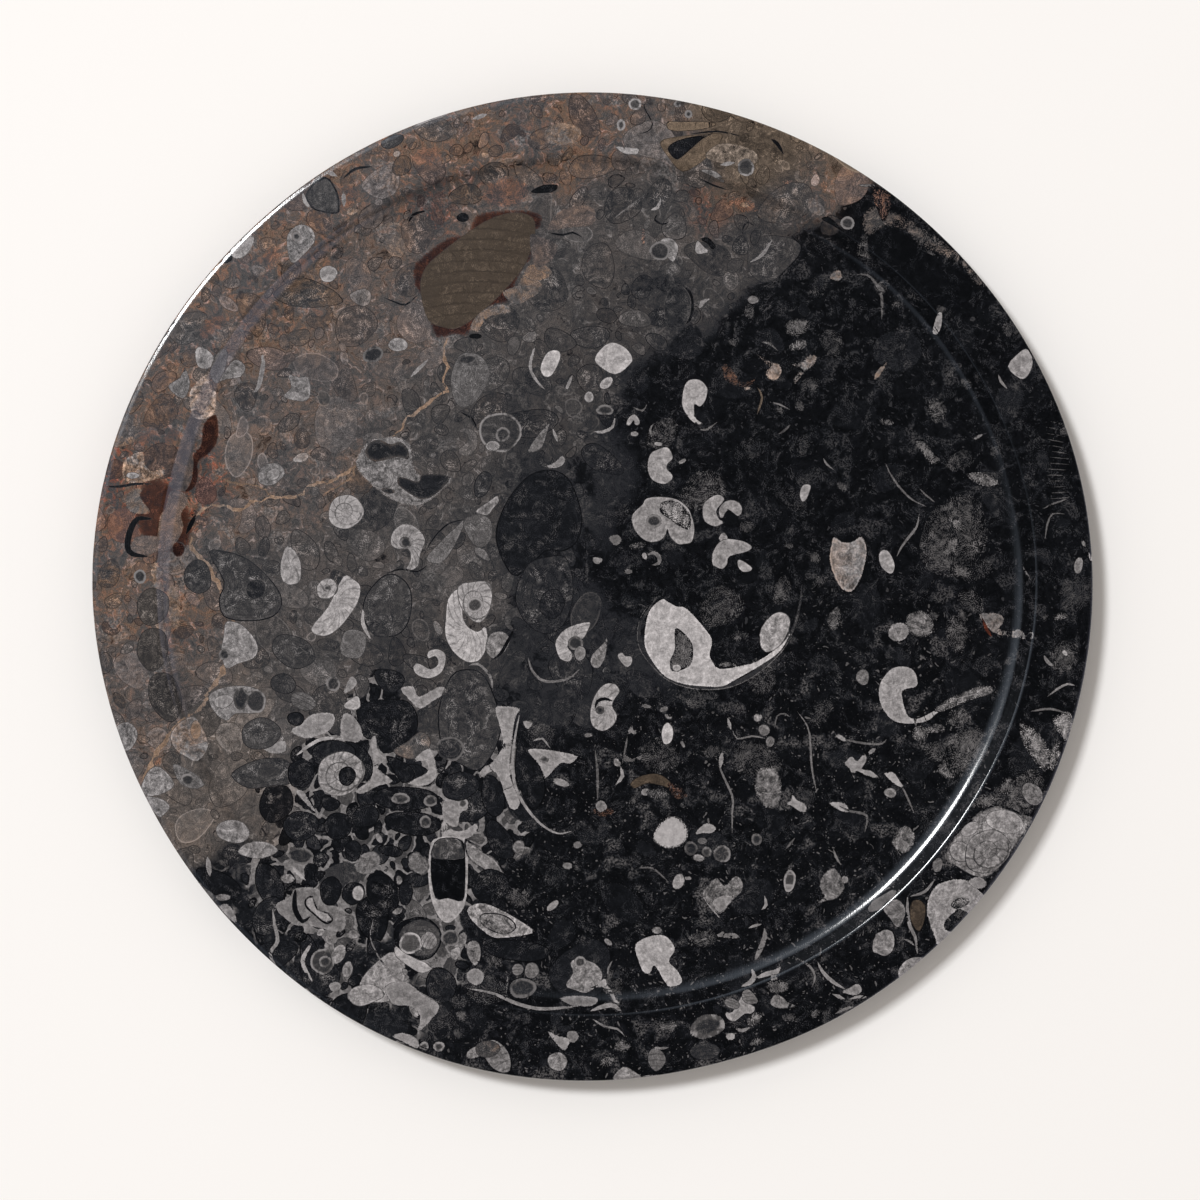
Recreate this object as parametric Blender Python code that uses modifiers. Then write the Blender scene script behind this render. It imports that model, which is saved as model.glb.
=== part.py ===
"""A round platter cut from one slab of polished fossil limestone.

The stone lies on its flat underside. A flat rim runs round a shallow recess, whose floor
curves up to the rim in a soft cove. The outline and the step are a little out of true all
the way round, as on a plate that is ground by hand.

The fossils are sections through shells in the solid stone, ground flush with it, so they
have no relief of their own.

Lengths are in millimetres and heights are above the underside. Angles are anticlockwise
from +X, seen from above.
"""

import math

import bmesh
import bpy

OBJECT_NAME = "fossil_plate"
COLLECTION_NAME = "fossil_ammonite_plate"

METRE = 1000.0

THICKNESS = 18.0
SEGMENTS = 120

# Rounding of the rim's outer top edge, and the narrow bevel round the underside
EDGE_ROUND = 1.2
EDGE_STEPS = 3
FOOT_BEVEL = 1.0

# Outer radius every 15 degrees, from +X anticlockwise
OUTER_RADII = (
    200.2, 200.0, 199.0, 197.9, 197.4, 197.4,
    197.8, 198.0, 198.0, 197.9, 198.8, 200.0,
    200.2, 198.8, 197.4, 197.4, 198.2, 198.5,
    197.8, 197.2, 198.4, 199.2, 199.8, 199.9,
)

# Radius of the line where the step turns over into the rim, every 15 degrees
LIP_RADII = (
    177.6, 177.5, 176.6, 175.3, 172.8, 172.3,
    173.0, 174.1, 175.6, 176.4, 176.0, 174.8,
    174.8, 174.5, 173.8, 173.0, 172.4, 171.7,
    171.4, 171.7, 172.6, 173.6, 174.8, 176.6,
)

# The step, from the flat floor to the flat rim: distance from the floor's edge, and the
# slope there in degrees
STEP_SLOPES = (
    (0.0, 0.0), (5.0, 3.0), (8.0, 11.0), (10.0, 24.0),
    (12.0, 47.0), (13.4, 40.0), (14.5, 11.0), (15.6, 0.0),
)
LIP_DISTANCE = 14.5

# Distances from the floor's edge at which the section has a point
STEP_STATIONS = (0.0, 5.0, 8.0, 9.0, 10.0, 11.0, 12.0, 12.7, 13.4, 14.0, 14.5, 15.6)

# The same radii on a plate that is perfectly round
ROUND_OUTER = 198.5
ROUND_LIP = 174.5
ROUND_FLOOR = ROUND_LIP - LIP_DISTANCE

STONE_COLOUR = (0.082, 0.074, 0.070, 1.0)
STONE_ROUGHNESS = 0.14


def clear_scene():
    """Remove every object, so that the plate is alone in the scene."""
    for old in list(bpy.data.objects):
        bpy.data.objects.remove(old, do_unlink=True)


def round_value(values, angle):
    """Read a ring of evenly spaced values at an angle, on a smooth closed curve."""
    place = (angle / (2.0 * math.pi) % 1.0) * len(values)
    index = int(place)
    part = place - index
    before, here, after, beyond = (values[(index + step) % len(values)] for step in (-1, 0, 1, 2))
    square = 2.0 * before - 5.0 * here + 4.0 * after - beyond
    cube = 3.0 * (here - after) + beyond - before
    return here + 0.5 * part * (after - before + part * (square + part * cube))


def step_slope(distance):
    """Slope of the step in degrees, at a distance from the floor's edge."""
    for (start, low), (end, high) in zip(STEP_SLOPES, STEP_SLOPES[1:]):
        if distance <= end:
            return low + (high - low) * (distance - start) / (end - start)
    return 0.0


def step_rise(distance, parts_per_mm=10):
    """Height that the step has gained at a distance from the floor's edge."""
    count = max(1, round(distance * parts_per_mm))
    width = distance / count
    return sum(math.tan(math.radians(step_slope((index + 0.5) * width))) * width
               for index in range(count))


def plate_profile():
    """Half of the plate's section, from the middle of the floor over the rim to the foot."""
    floor_height = THICKNESS - step_rise(STEP_STATIONS[-1])
    points = [(0.0, floor_height)]
    for station in STEP_STATIONS:
        points.append((ROUND_FLOOR + station, floor_height + step_rise(station)))
    for index in range(EDGE_STEPS + 1):
        turn = 0.5 * math.pi * index / EDGE_STEPS
        points.append((ROUND_OUTER - EDGE_ROUND * (1.0 - math.sin(turn)),
                       THICKNESS - EDGE_ROUND * (1.0 - math.cos(turn))))
    points.append((ROUND_OUTER, FOOT_BEVEL))
    points.append((ROUND_OUTER - FOOT_BEVEL, 0.0))
    points.append((0.0, 0.0))
    return points


def turned_blank(points):
    """Turn the profile round Z, and weld its seam and its two poles."""
    mesh = bpy.data.meshes.new(OBJECT_NAME)
    mesh.from_pydata([(radius / METRE, 0.0, height / METRE) for radius, height in points],
                     [(index, index + 1) for index in range(len(points) - 1)], [])
    plate = bpy.data.objects.new(OBJECT_NAME, mesh)
    home = bpy.data.collections.new(COLLECTION_NAME)
    bpy.context.scene.collection.children.link(home)
    home.objects.link(plate)

    screw = plate.modifiers.new("turn", "SCREW")
    screw.axis = "Z"
    screw.steps = SEGMENTS
    screw.render_steps = SEGMENTS
    screw.use_merge_vertices = True
    screw.merge_threshold = 0.00001

    turned = bpy.data.meshes.new_from_object(plate.evaluated_get(bpy.context.evaluated_depsgraph_get()))
    plate.modifiers.clear()
    plate.data = turned
    bpy.data.meshes.remove(mesh)
    turned.name = OBJECT_NAME

    shape = bmesh.new()
    shape.from_mesh(turned)
    bmesh.ops.remove_doubles(shape, verts=shape.verts, dist=0.000005)
    bmesh.ops.dissolve_degenerate(shape, edges=shape.edges, dist=0.000005)
    shape.to_mesh(turned)
    shape.free()
    return plate


def true_radius(radius, angle):
    """Where a radius of the round blank lies on the real plate, at an angle."""
    lip = round_value(LIP_RADII, angle)
    outer = round_value(OUTER_RADII, angle)
    floor = lip - LIP_DISTANCE
    if radius <= ROUND_FLOOR:
        return radius * floor / ROUND_FLOOR
    if radius <= ROUND_LIP:
        return floor + (radius - ROUND_FLOOR)
    return lip + (outer - lip) * (radius - ROUND_LIP) / (ROUND_OUTER - ROUND_LIP)


def put_out_of_true(plate):
    """Move the blank's rings to the plate's own uneven outline and step."""
    for vertex in plate.data.vertices:
        radius = math.hypot(vertex.co.x, vertex.co.y)
        if radius > 0.0:
            angle = math.atan2(vertex.co.y, vertex.co.x)
            stretch = true_radius(radius * METRE, angle) / (radius * METRE)
            vertex.co.x *= stretch
            vertex.co.y *= stretch


def stone_material():
    """Plain dark polished stone."""
    stone = bpy.data.materials.new("fossil_limestone")
    stone.use_nodes = True
    shader = stone.node_tree.nodes["Principled BSDF"]
    shader.inputs["Base Color"].default_value = STONE_COLOUR
    shader.inputs["Roughness"].default_value = STONE_ROUGHNESS
    shader.inputs["Metallic"].default_value = 0.0
    return stone


def main():
    clear_scene()
    plate = turned_blank(plate_profile())
    put_out_of_true(plate)
    plate.data.shade_smooth()
    plate.data.set_sharp_from_angle(angle=math.radians(30.0))
    plate.data.materials.append(stone_material())


main()
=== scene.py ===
"""A round platter of polished fossil limestone, seen from straight above on a pale floor.

The surface is one closed sheet of stone. The outlines of the cut shells, veins and mineral
patches are drawn on the flat, and the drawing is then laid on the stone: over the floor of
the recess, up the step, across the rim, round the edge and down the wall. Each area carries
what its material needs: its tone, its warmth, its wall and its own local coordinates.

Lengths are in millimetres until the mesh is made. Angles are anticlockwise from +X. A tone
is how light a place looks, from 0 for black to 1 for white.
"""

import math
import random

import bpy
import numpy as np
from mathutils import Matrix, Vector
from mathutils.geometry import delaunay_2d_cdt


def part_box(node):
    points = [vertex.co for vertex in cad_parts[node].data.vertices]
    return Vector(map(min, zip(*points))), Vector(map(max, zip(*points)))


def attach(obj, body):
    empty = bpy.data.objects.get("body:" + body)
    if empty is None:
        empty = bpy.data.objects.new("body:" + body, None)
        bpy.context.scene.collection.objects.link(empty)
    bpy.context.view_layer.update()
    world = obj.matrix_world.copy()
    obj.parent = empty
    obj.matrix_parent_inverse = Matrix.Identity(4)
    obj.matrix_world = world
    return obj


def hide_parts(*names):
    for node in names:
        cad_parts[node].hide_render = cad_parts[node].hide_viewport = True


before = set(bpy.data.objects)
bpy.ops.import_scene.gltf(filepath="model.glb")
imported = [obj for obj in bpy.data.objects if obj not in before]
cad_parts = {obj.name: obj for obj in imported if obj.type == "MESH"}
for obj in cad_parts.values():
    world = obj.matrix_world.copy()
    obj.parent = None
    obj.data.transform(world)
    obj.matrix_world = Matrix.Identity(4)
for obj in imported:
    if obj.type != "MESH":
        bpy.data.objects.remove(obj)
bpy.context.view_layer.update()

bl_info = {
    "name": "Fossil ammonite plate",
    "version": (1, 0, 0),
    "blender": (4, 5, 0),
    "location": "View3D > Sidebar > Fossil plate",
    "description": "Cuts, polishes and lights a round platter of goniatite limestone",
    "category": "Object",
}

PLATE = "fossil_plate"
MM = 0.001
TAU = 2.0 * math.pi

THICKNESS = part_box(PLATE)[1][2] / MM
EDGE_ROUND = 0.7
FOOT_BEVEL = 1.0
WALL = THICKNESS - EDGE_ROUND - FOOT_BEVEL
EDGE_ARC = EDGE_ROUND * math.pi / 2.0
FOOT_RUN = FOOT_BEVEL * math.sqrt(2.0)
# The polish rolls off towards the edge: over this width, up to this slope. The drop that it leaves
# is gone this far down the wall
ROLL_WIDTH = 1.6
ROLL_SLOPE = 0.28
ROLL_END = 4.0
# How far the flat drawing reaches past the outer radius, to cover the edge, the wall and the foot
SHEET_OVERHANG = EDGE_ARC - EDGE_ROUND + WALL + FOOT_RUN

# Outer radius and lip radius of the step, every 15 degrees, as the solid has them
OUTER_RADII = (
    200.2, 200.0, 199.0, 197.9, 197.4, 197.4,
    197.8, 198.0, 198.0, 197.9, 198.8, 200.0,
    200.2, 198.8, 197.4, 197.4, 198.2, 198.5,
    197.8, 197.2, 198.4, 199.2, 199.8, 199.9,
)
LIP_RADII = (
    177.6, 177.5, 176.6, 175.3, 172.8, 172.3,
    173.0, 174.1, 175.6, 176.4, 176.0, 174.8,
    174.8, 174.5, 173.8, 173.0, 172.4, 171.7,
    171.4, 171.7, 172.6, 173.6, 174.8, 176.6,
)
# The step's slope in degrees at distances from the floor's edge
STEP_SLOPES = (
    (0.0, 0.0), (5.0, 3.0), (8.0, 11.0), (10.0, 24.0),
    (12.0, 47.0), (13.4, 40.0), (14.5, 11.0), (15.6, 0.0),
)
# How far the step's lip lies from the floor's edge
LIP_DISTANCE = 14.5
RING_POINTS = 240


def step_heights(spacing=0.005):
    """Distance from the floor's edge, and the height gained there, all the way up the step."""
    run = np.arange(0.0, STEP_SLOPES[-1][0] + spacing, spacing)
    slope = np.interp(run, *zip(*STEP_SLOPES))
    gained = np.tan(np.radians(slope[1:] + slope[:-1]) / 2.0) * spacing
    return run, np.concatenate([[0.0], np.cumsum(gained)])


STEP_RUN, STEP_RISE = step_heights()
FLOOR_HEIGHT = THICKNESS - STEP_RISE[-1]


def ring_value(values, angle):
    """Read a ring of evenly spaced values at angles, on a smooth closed curve."""
    place = (np.asarray(angle) / TAU % 1.0) * len(values)
    index = place.astype(int)
    part = place - index
    ring = np.asarray(values)
    before, here, after, beyond = (ring[(index + step) % len(ring)] for step in (-1, 0, 1, 2))
    square = 2.0 * before - 5.0 * here + 4.0 * after - beyond
    cube = 3.0 * (here - after) + beyond - before
    return here + 0.5 * part * (after - before + part * (square + part * cube))


def on_stone(flat):
    """Lay points of the flat drawing on the stone, from the floor out to the foot."""
    radius = np.hypot(flat[:, 0], flat[:, 1])
    angle = np.arctan2(flat[:, 1], flat[:, 0])
    outer = ring_value(OUTER_RADII, angle)
    lip = ring_value(LIP_RADII, angle)
    past = radius - (outer - EDGE_ROUND)
    turn = np.clip(past / EDGE_ROUND, 0.0, math.pi / 2.0)
    down = np.clip(past - EDGE_ARC, 0.0, WALL)
    foot = np.clip(past - EDGE_ARC - WALL, 0.0, FOOT_RUN) / math.sqrt(2.0)
    reach = np.minimum(radius, outer - EDGE_ROUND) + EDGE_ROUND * np.sin(turn) - foot
    height = FLOOR_HEIGHT + np.interp(radius - (lip - LIP_DISTANCE), STEP_RUN, STEP_RISE)
    height -= EDGE_ROUND * (1.0 - np.cos(turn)) + down + foot
    rolled = np.clip(radius - (outer - EDGE_ROUND - ROLL_WIDTH), 0.0, ROLL_WIDTH)
    left = 1.0 - np.clip((down + foot) / ROLL_END, 0.0, 1.0)
    height -= 0.5 * ROLL_SLOPE * rolled ** 2 / ROLL_WIDTH * left
    return np.stack([reach * np.cos(angle), reach * np.sin(angle), height], axis=1)


def stone_normals(flat, reach=0.02):
    """Outward normals of the stone where points of the flat drawing lie on it."""
    along = on_stone(flat + [reach, 0.0]) - on_stone(flat - [reach, 0.0])
    across = on_stone(flat + [0.0, reach]) - on_stone(flat - [0.0, reach])
    normal = np.cross(along, across)
    return normal / np.linalg.norm(normal, axis=1, keepdims=True)


def ring_points(count, radius_at):
    """A closed ring of points, whose radius at each angle is given by a function."""
    angle = np.arange(count) * TAU / count
    radius = radius_at(angle)
    return np.stack([radius * np.cos(angle), radius * np.sin(angle)], axis=1)


# The muds between the shells. Each has a look, and the round spots that it lies in: x, y and
# radius. Spots that meet run into each other
MUD_VALUES = ("tone", "brown", "rust", "olive", "black", "spar", "fragments")
MUDS = {
    "black mud": (
        {"tone": 0.11, "black": 1.0, "fragments": 0.5},
        ((123, 35, 52), (105, 102, 34), (63, 67, 36), (51, 3, 32), (171, 55, 32), (179, -25, 32),
         (115, 135, 16), (35, 43, 24))),
    "black mud with shell hash": (
        {"tone": 0.13, "black": 0.95, "fragments": 0.9},
        ((123, -45, 44), (83, -109, 40), (43, -149, 40), (-9, -125, 28), (-13, -181, 32), (143, -125, 28),
         (11, -77, 24))),
    "black mud by the mosaic": (
        {"tone": 0.15, "black": 0.65, "spar": 0.4, "fragments": 0.7},
        ((-69, -165, 24), (-117, -149, 20), (-29, -149, 16), (-141, -125, 14))),
    "mosaic of black shells": (
        {"tone": 0.20, "black": 0.2, "spar": 1.0, "fragments": 0.3},
        ((-105, -109, 24), (-65, -109, 28), (-49, -73, 16), (-93, -71, 16), (-83, -52, 12))),
    "dark mud": (
        {"tone": 0.20, "black": 0.4, "fragments": 0.4},
        ((3, -41, 18), (-9, -5, 20), (-21, 27, 22), (3, 51, 16), (-29, -41, 16))),
    "dark grey mud": (
        {"tone": 0.25, "brown": 0.08, "fragments": 0.6},
        ((-57, -38, 16), (-77, -25, 20), (7, 103, 20), (27, 119, 16), (-13, 75, 20), (74, 136, 16))),
    "grey mud": (
        {"tone": 0.30, "brown": 0.12, "fragments": 0.6},
        ((-45, 11, 20), (-77, 11, 24), (-113, 11, 20), (-117, -25, 20), (-53, 63, 20), (-29, 95, 20),
         (7, 143, 24), (47, 147, 20), (-113, -45, 14))),
    "warm grey mud": (
        {"tone": 0.34, "brown": 0.4, "rust": 0.05, "fragments": 0.8},
        ((-105, 47, 20), (-133, 59, 20), (-101, 87, 24), (-77, 127, 20), (-37, 149, 16), (-141, 11, 16),
         (23, 175, 14), (-177, -45, 20), (92, 147, 12))),
    "brown mud": (
        {"tone": 0.35, "brown": 0.75, "rust": 0.12, "fragments": 0.8},
        ((-13, 183, 20), (-49, 179, 24), (-81, 167, 20), (-113, 147, 20), (-141, 111, 20), (-165, 75, 16),
         (-177, -1, 16), (91, 159, 12))),
    "rusty mud": (
        {"tone": 0.32, "brown": 0.9, "rust": 0.45, "fragments": 0.7},
        ((-177, 43, 16), (-58, 158, 10), (52, 156, 10))),
    "olive mud": (
        {"tone": 0.33, "brown": 0.2, "olive": 0.8, "fragments": 0.3},
        ((63, 179, 18), (80, 168, 14))),
    "pale mud at the left": (
        {"tone": 0.35, "brown": 0.2, "olive": 0.2, "spar": 0.25, "fragments": 0.2},
        ((-157, -89, 20), (-141, -57, 16))),
}
MUD_SPOTS = np.array([(*spot, *(mud.get(name, 0.0) for name in MUD_VALUES))
                      for mud, spots in MUDS.values() for spot in spots])


LONG_WAVE, SHORT_WAVE = 7.0, 3.0


def ground_at(flat):
    """Mix the muds at points of the drawing, each spot weighted by its nearness.

    The points are first moved by long waves and by short ones, so that the muds meet on crooked
    lines.
    """
    x, y, reach = MUD_SPOTS[:, :3].T
    across, up = flat.T
    across = across + LONG_WAVE * np.sin(up / 11.0 + 1.0) + SHORT_WAVE * np.sin((flat[:, 0] + up) / 5.0)
    up = up + LONG_WAVE * np.sin(flat[:, 0] / 9.0 + 2.0) + SHORT_WAVE * np.sin((flat[:, 0] - up) / 6.0)
    away = (across[:, None] - x) ** 2 + (up[:, None] - y) ** 2
    # A trace of every spot is left far off, so that each place has some mud
    weight = np.exp(-away / (0.8 * reach) ** 2) + 1e-9 / (1.0 + away)
    return (weight @ MUD_SPOTS[:, 3:]) / weight.sum(axis=1, keepdims=True)


# How far inside an outline its inner rings of mesh points lie, and the mean radius from which an
# area has the second one
FIRST_RING, SECOND_RING = 0.9, 2.6
LARGE_PATCH = 4.5


class Patch:
    """One area of the drawing: its outline, its local coordinates and its look."""

    def __init__(self, look, outline, centre, half, turn=0.0, spine=None):
        self.look = look
        self.outline = outline
        self.centre = np.array(centre)
        self.half = np.array(half)
        self.turn = turn
        self.spine = spine

    def local(self, flat):
        """Points in the patch's own axes, where its half length and half width are 1."""
        away = flat - self.centre
        cos, sin = math.cos(self.turn), math.sin(self.turn)
        return np.stack([away[:, 0] * cos + away[:, 1] * sin,
                         away[:, 1] * cos - away[:, 0] * sin], axis=1) / self.half

    def inside(self):
        """Points inside the outline that carry its distances: inner rings and the middle."""
        if self.spine is not None:
            return self.spine[1:-1]
        middle = self.outline.mean(axis=0)
        size = float(np.hypot(*(self.outline - middle).T).mean())
        inset = max(0.3, 1.0 - FIRST_RING / size)
        rings = [middle + (self.outline[::2] - middle) * inset, middle[None]]
        if size > LARGE_PATCH:
            inset = max(0.5, 1.0 - SECOND_RING / size)
            rings.append(middle + (self.outline[::3] - middle) * inset)
        return np.concatenate(rings)

    def edge(self, flat):
        """Distance in millimetres from points to the outline."""
        start = self.outline
        step = np.roll(start, -1, axis=0) - start
        away = flat[:, None] - start[None]
        part = np.clip((away * step).sum(axis=2) / np.maximum((step * step).sum(axis=1), 1e-9), 0.0, 1.0)
        return np.sqrt((((away - part[..., None] * step) ** 2).sum(axis=2)).min(axis=1))

    def along(self, flat):
        """How far along the spine the points lie, from 0 to 1, or -1 where there is none."""
        if self.spine is None:
            return np.full(len(flat), -1.0)
        away = ((flat[:, None] - self.spine[None]) ** 2).sum(axis=2)
        return away.argmin(axis=1) / (len(self.spine) - 1.0)


# What an area looks like. Its tone and its wall's tone are shares of the tone that it is given,
# and the wall's width, the fade of its edge and the step of its nested lines are lengths.
# A coil of 1 draws whorls, and one of -1 draws stripes
PLAIN_LOOK = {
    "fill_share": 1.0, "wall_share": 0.5, "wall_width": 0.25, "fade": 0.12, "speckle": 0.0,
    "brown": 0.0, "rust": 0.0, "olive": 0.0, "mottle": 1.0, "septa": 0.0, "coil": 0.0, "nested": 0.0,
}
LOOKS = {
    "shell": {"wall_share": 0.4, "wall_width": 0.22},
    "pale": {"wall_share": 0.45, "mottle": 1.3, "fade": 0.25},
    "septate": {"wall_share": 0.45, "septa": 6.0},
    "spiral": {"wall_share": 0.45, "septa": 12.0, "coil": 1.0, "mottle": 0.8},
    "coiled": {"wall_share": 0.35, "septa": 12.0, "coil": 1.0, "wall_width": 0.35},
    "ring": {"fill_share": 0.5, "wall_share": 1.15, "wall_width": 0.9, "mottle": 0.8},
    "striped": {"wall_share": 0.4, "septa": 4.0, "coil": -1.0, "wall_width": 0.2},
    "granular": {"wall_width": 0.0, "mottle": 1.9},
    "spar": {"wall_width": 0.0, "fade": 0.2, "mottle": 0.8},
    "cloud": {"wall_width": 0.0, "fade": 1.6, "mottle": 1.9},
    "mud": {"wall_width": 0.3, "speckle": 0.25},
    "speckled": {"wall_width": 0.3, "mottle": 1.2, "speckle": 1.0},
    "black": {"wall_share": 0.35, "wall_width": 0.4, "mottle": 1.0, "speckle": 0.6},
    "thread": {"wall_width": 0.0, "fade": 0.1, "mottle": 0.8},
    "beige": {"wall_width": 0.0, "fade": 0.5, "mottle": 1.5, "brown": 0.35},
    "tan": {"wall_width": 0.0, "fade": 0.4, "mottle": 1.3, "brown": 0.7},
    "pink": {"fill_share": 0.86, "wall_width": 0.0, "fade": 0.4, "mottle": 1.0, "brown": 0.35, "rust": 0.05},
    "ochre": {"wall_width": 0.0, "fade": 0.15, "mottle": 0.8, "brown": 1.0, "rust": 0.05, "olive": 0.6},
    "rust": {"wall_width": 0.0, "fade": 2.5, "mottle": 1.5, "brown": 0.9, "rust": 0.27},
    "maroon": {"fill_share": 0.82, "wall_share": 0.5, "mottle": 2.0, "brown": 0.8, "rust": 0.62, "fade": 0.9},
    "olive": {"wall_width": 0.25, "mottle": 0.8, "brown": 0.2, "olive": 0.9},
    "chert": {"wall_share": 0.72, "wall_width": 0.2, "mottle": 0.3, "olive": 0.85, "septa": 11.0,
              "coil": -1.0},
}


def look(name, tone, **changes):
    """A named look at a tone, with a few of its values changed. A wall can be given its own tone."""
    made = {**PLAIN_LOOK, **LOOKS[name], **changes}
    made["tone"] = tone * made["fill_share"]
    made.setdefault("wall", tone * made["wall_share"])
    return made


def turned(points, turn, centre):
    """Turn local points by an angle in radians and set them down round a centre."""
    cos, sin = math.cos(turn), math.sin(turn)
    return np.stack([points[:, 0] * cos - points[:, 1] * sin + centre[0],
                     points[:, 0] * sin + points[:, 1] * cos + centre[1]], axis=1)


def kept_on_sheet(points, margin=2.0):
    """Pull points that would run off the foot of the stone back on to the wall."""
    radius = np.hypot(points[:, 0], points[:, 1])
    outer = ring_value(OUTER_RADII, np.arctan2(points[:, 1], points[:, 0]))
    limit = outer + SHEET_OVERHANG - margin
    return points * np.minimum(1.0, limit / np.maximum(radius, 1.0))[:, None]


def oval(kind, tone, x, y, long, wide, turn=0.0, egg=0.0, bend=0.0, chord=1.2, **changes):
    """An oval shell section: egg widens one end, and bend curves it. Chord spaces its points."""
    half = np.array([long / 2.0, wide / 2.0])
    count = int(np.clip(math.pi * half.sum() / chord, 10, 64))
    phase = np.arange(count) * TAU / count
    u = np.cos(phase)
    v = np.sin(phase) * (1.0 + egg * u)
    ripple = random.uniform(0.0, TAU)
    swell = 1.0 + 0.035 * (np.sin(2.0 * phase + ripple) + 0.7 * np.sin(3.0 * phase + 2.3 * ripple)
                           + 0.5 * np.sin(5.0 * phase + 3.1 * ripple))
    v = v + bend * (u * u - 0.5) * long / wide
    local = np.stack([u, v], axis=1) * swell[:, None] * half
    radians = math.radians(turn)
    outline = kept_on_sheet(turned(local, radians, (x, y)))
    return Patch(look(kind, tone, **changes), outline, (x, y), half, radians)


def places(text):
    """The places in a text of x,y pairs, in millimetres.

    The first pair counts from the middle of the stone, and each later one from the place before.
    """
    steps = [[float(value) for value in pair.split(",")] for pair in text.split()]
    return np.cumsum(steps, axis=0).round(6)


AREA_STEPS = 3


def area(kind, tone, course, **changes):
    """An area with a smooth closed outline through given places."""
    knots = places(course)
    count = len(knots) * AREA_STEPS
    angle = np.arange(count) * TAU / count
    curve = np.stack([ring_value(knots[:, 0], angle), ring_value(knots[:, 1], angle)], axis=1)
    outline = kept_on_sheet(curve)
    low, high = outline.min(axis=0), outline.max(axis=0)
    return Patch(look(kind, tone, **changes), outline, (low + high) / 2.0, (high - low) / 2.0)


def ribbon(looks, spine, widths):
    """A band along a spine, with the full width at each of its points."""
    run = np.gradient(spine, axis=0)
    side = np.stack([-run[:, 1], run[:, 0]], axis=1) / np.linalg.norm(run, axis=1)[:, None]
    half = np.asarray(widths)[:, None] / 2.0
    outline = kept_on_sheet(np.concatenate([spine + side * half, (spine - side * half)[::-1]]))
    low, high = outline.min(axis=0), outline.max(axis=0)
    return Patch(looks, outline, (low + high) / 2.0, (high - low) / 2.0, spine=spine)


def open_curve(course, spacing):
    """A smooth open curve through given places, read about every spacing."""
    knots = places(course)
    ends = np.concatenate([2.0 * knots[:1] - knots[1:2], knots, 2.0 * knots[-1:] - knots[-2:-1]])
    curve = []
    for before, here, after, beyond in zip(ends, ends[1:], ends[2:], ends[3:]):
        count = max(2, int(np.linalg.norm(after - here) / spacing))
        part = (np.arange(count) / count)[:, None]
        square = 2.0 * before - 5.0 * here + 4.0 * after - beyond
        cube = 3.0 * (here - after) + beyond - before
        curve.append(here + 0.5 * part * (after - before + part * (square + part * cube)))
    return np.concatenate(curve + [knots[-1:]])


def thread(tone, width, course, **changes):
    """A thin shell wall or hairline through given places, which tapers at its ends."""
    spine = open_curve(course, 1.8)
    part = np.linspace(0.0, 1.0, len(spine))
    widths = width * (0.15 + 0.85 * np.sin(math.pi * part) ** 0.6)
    return ribbon(look("thread", tone, **changes), spine, widths)


VEIN_SHIVER = 0.35


def vein(kind, tone, width, course):
    """A crooked vein through given places, of uneven width."""
    spine = open_curve(course, 1.6)
    spine[1:-1] += np.array([[random.gauss(0.0, VEIN_SHIVER), random.gauss(0.0, VEIN_SHIVER)]
                             for _ in range(len(spine) - 2)])
    widths = [width * random.uniform(0.5, 1.5) for _ in spine]
    widths[0] = widths[-1] = 0.1
    return ribbon(look(kind, tone), spine, widths)


def horn(kind, tone, x, y, radius, start, sweep, width, **changes):
    """A horn-shaped whorl that winds in to half its radius round a centre, and narrows to its tip."""
    part = np.linspace(0.0, 1.0, 14)
    angle = np.radians(start + sweep * part)
    reach = radius * (1.0 - 0.5 * part)
    spine = np.stack([x + reach * np.cos(angle), y + reach * np.sin(angle)], axis=1)
    widths = width * (1.0 - 0.85 * part ** 1.3) * np.minimum(1.0, 0.35 + 4.0 * part)
    return ribbon(look(kind, tone, **changes), spine, widths)


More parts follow.
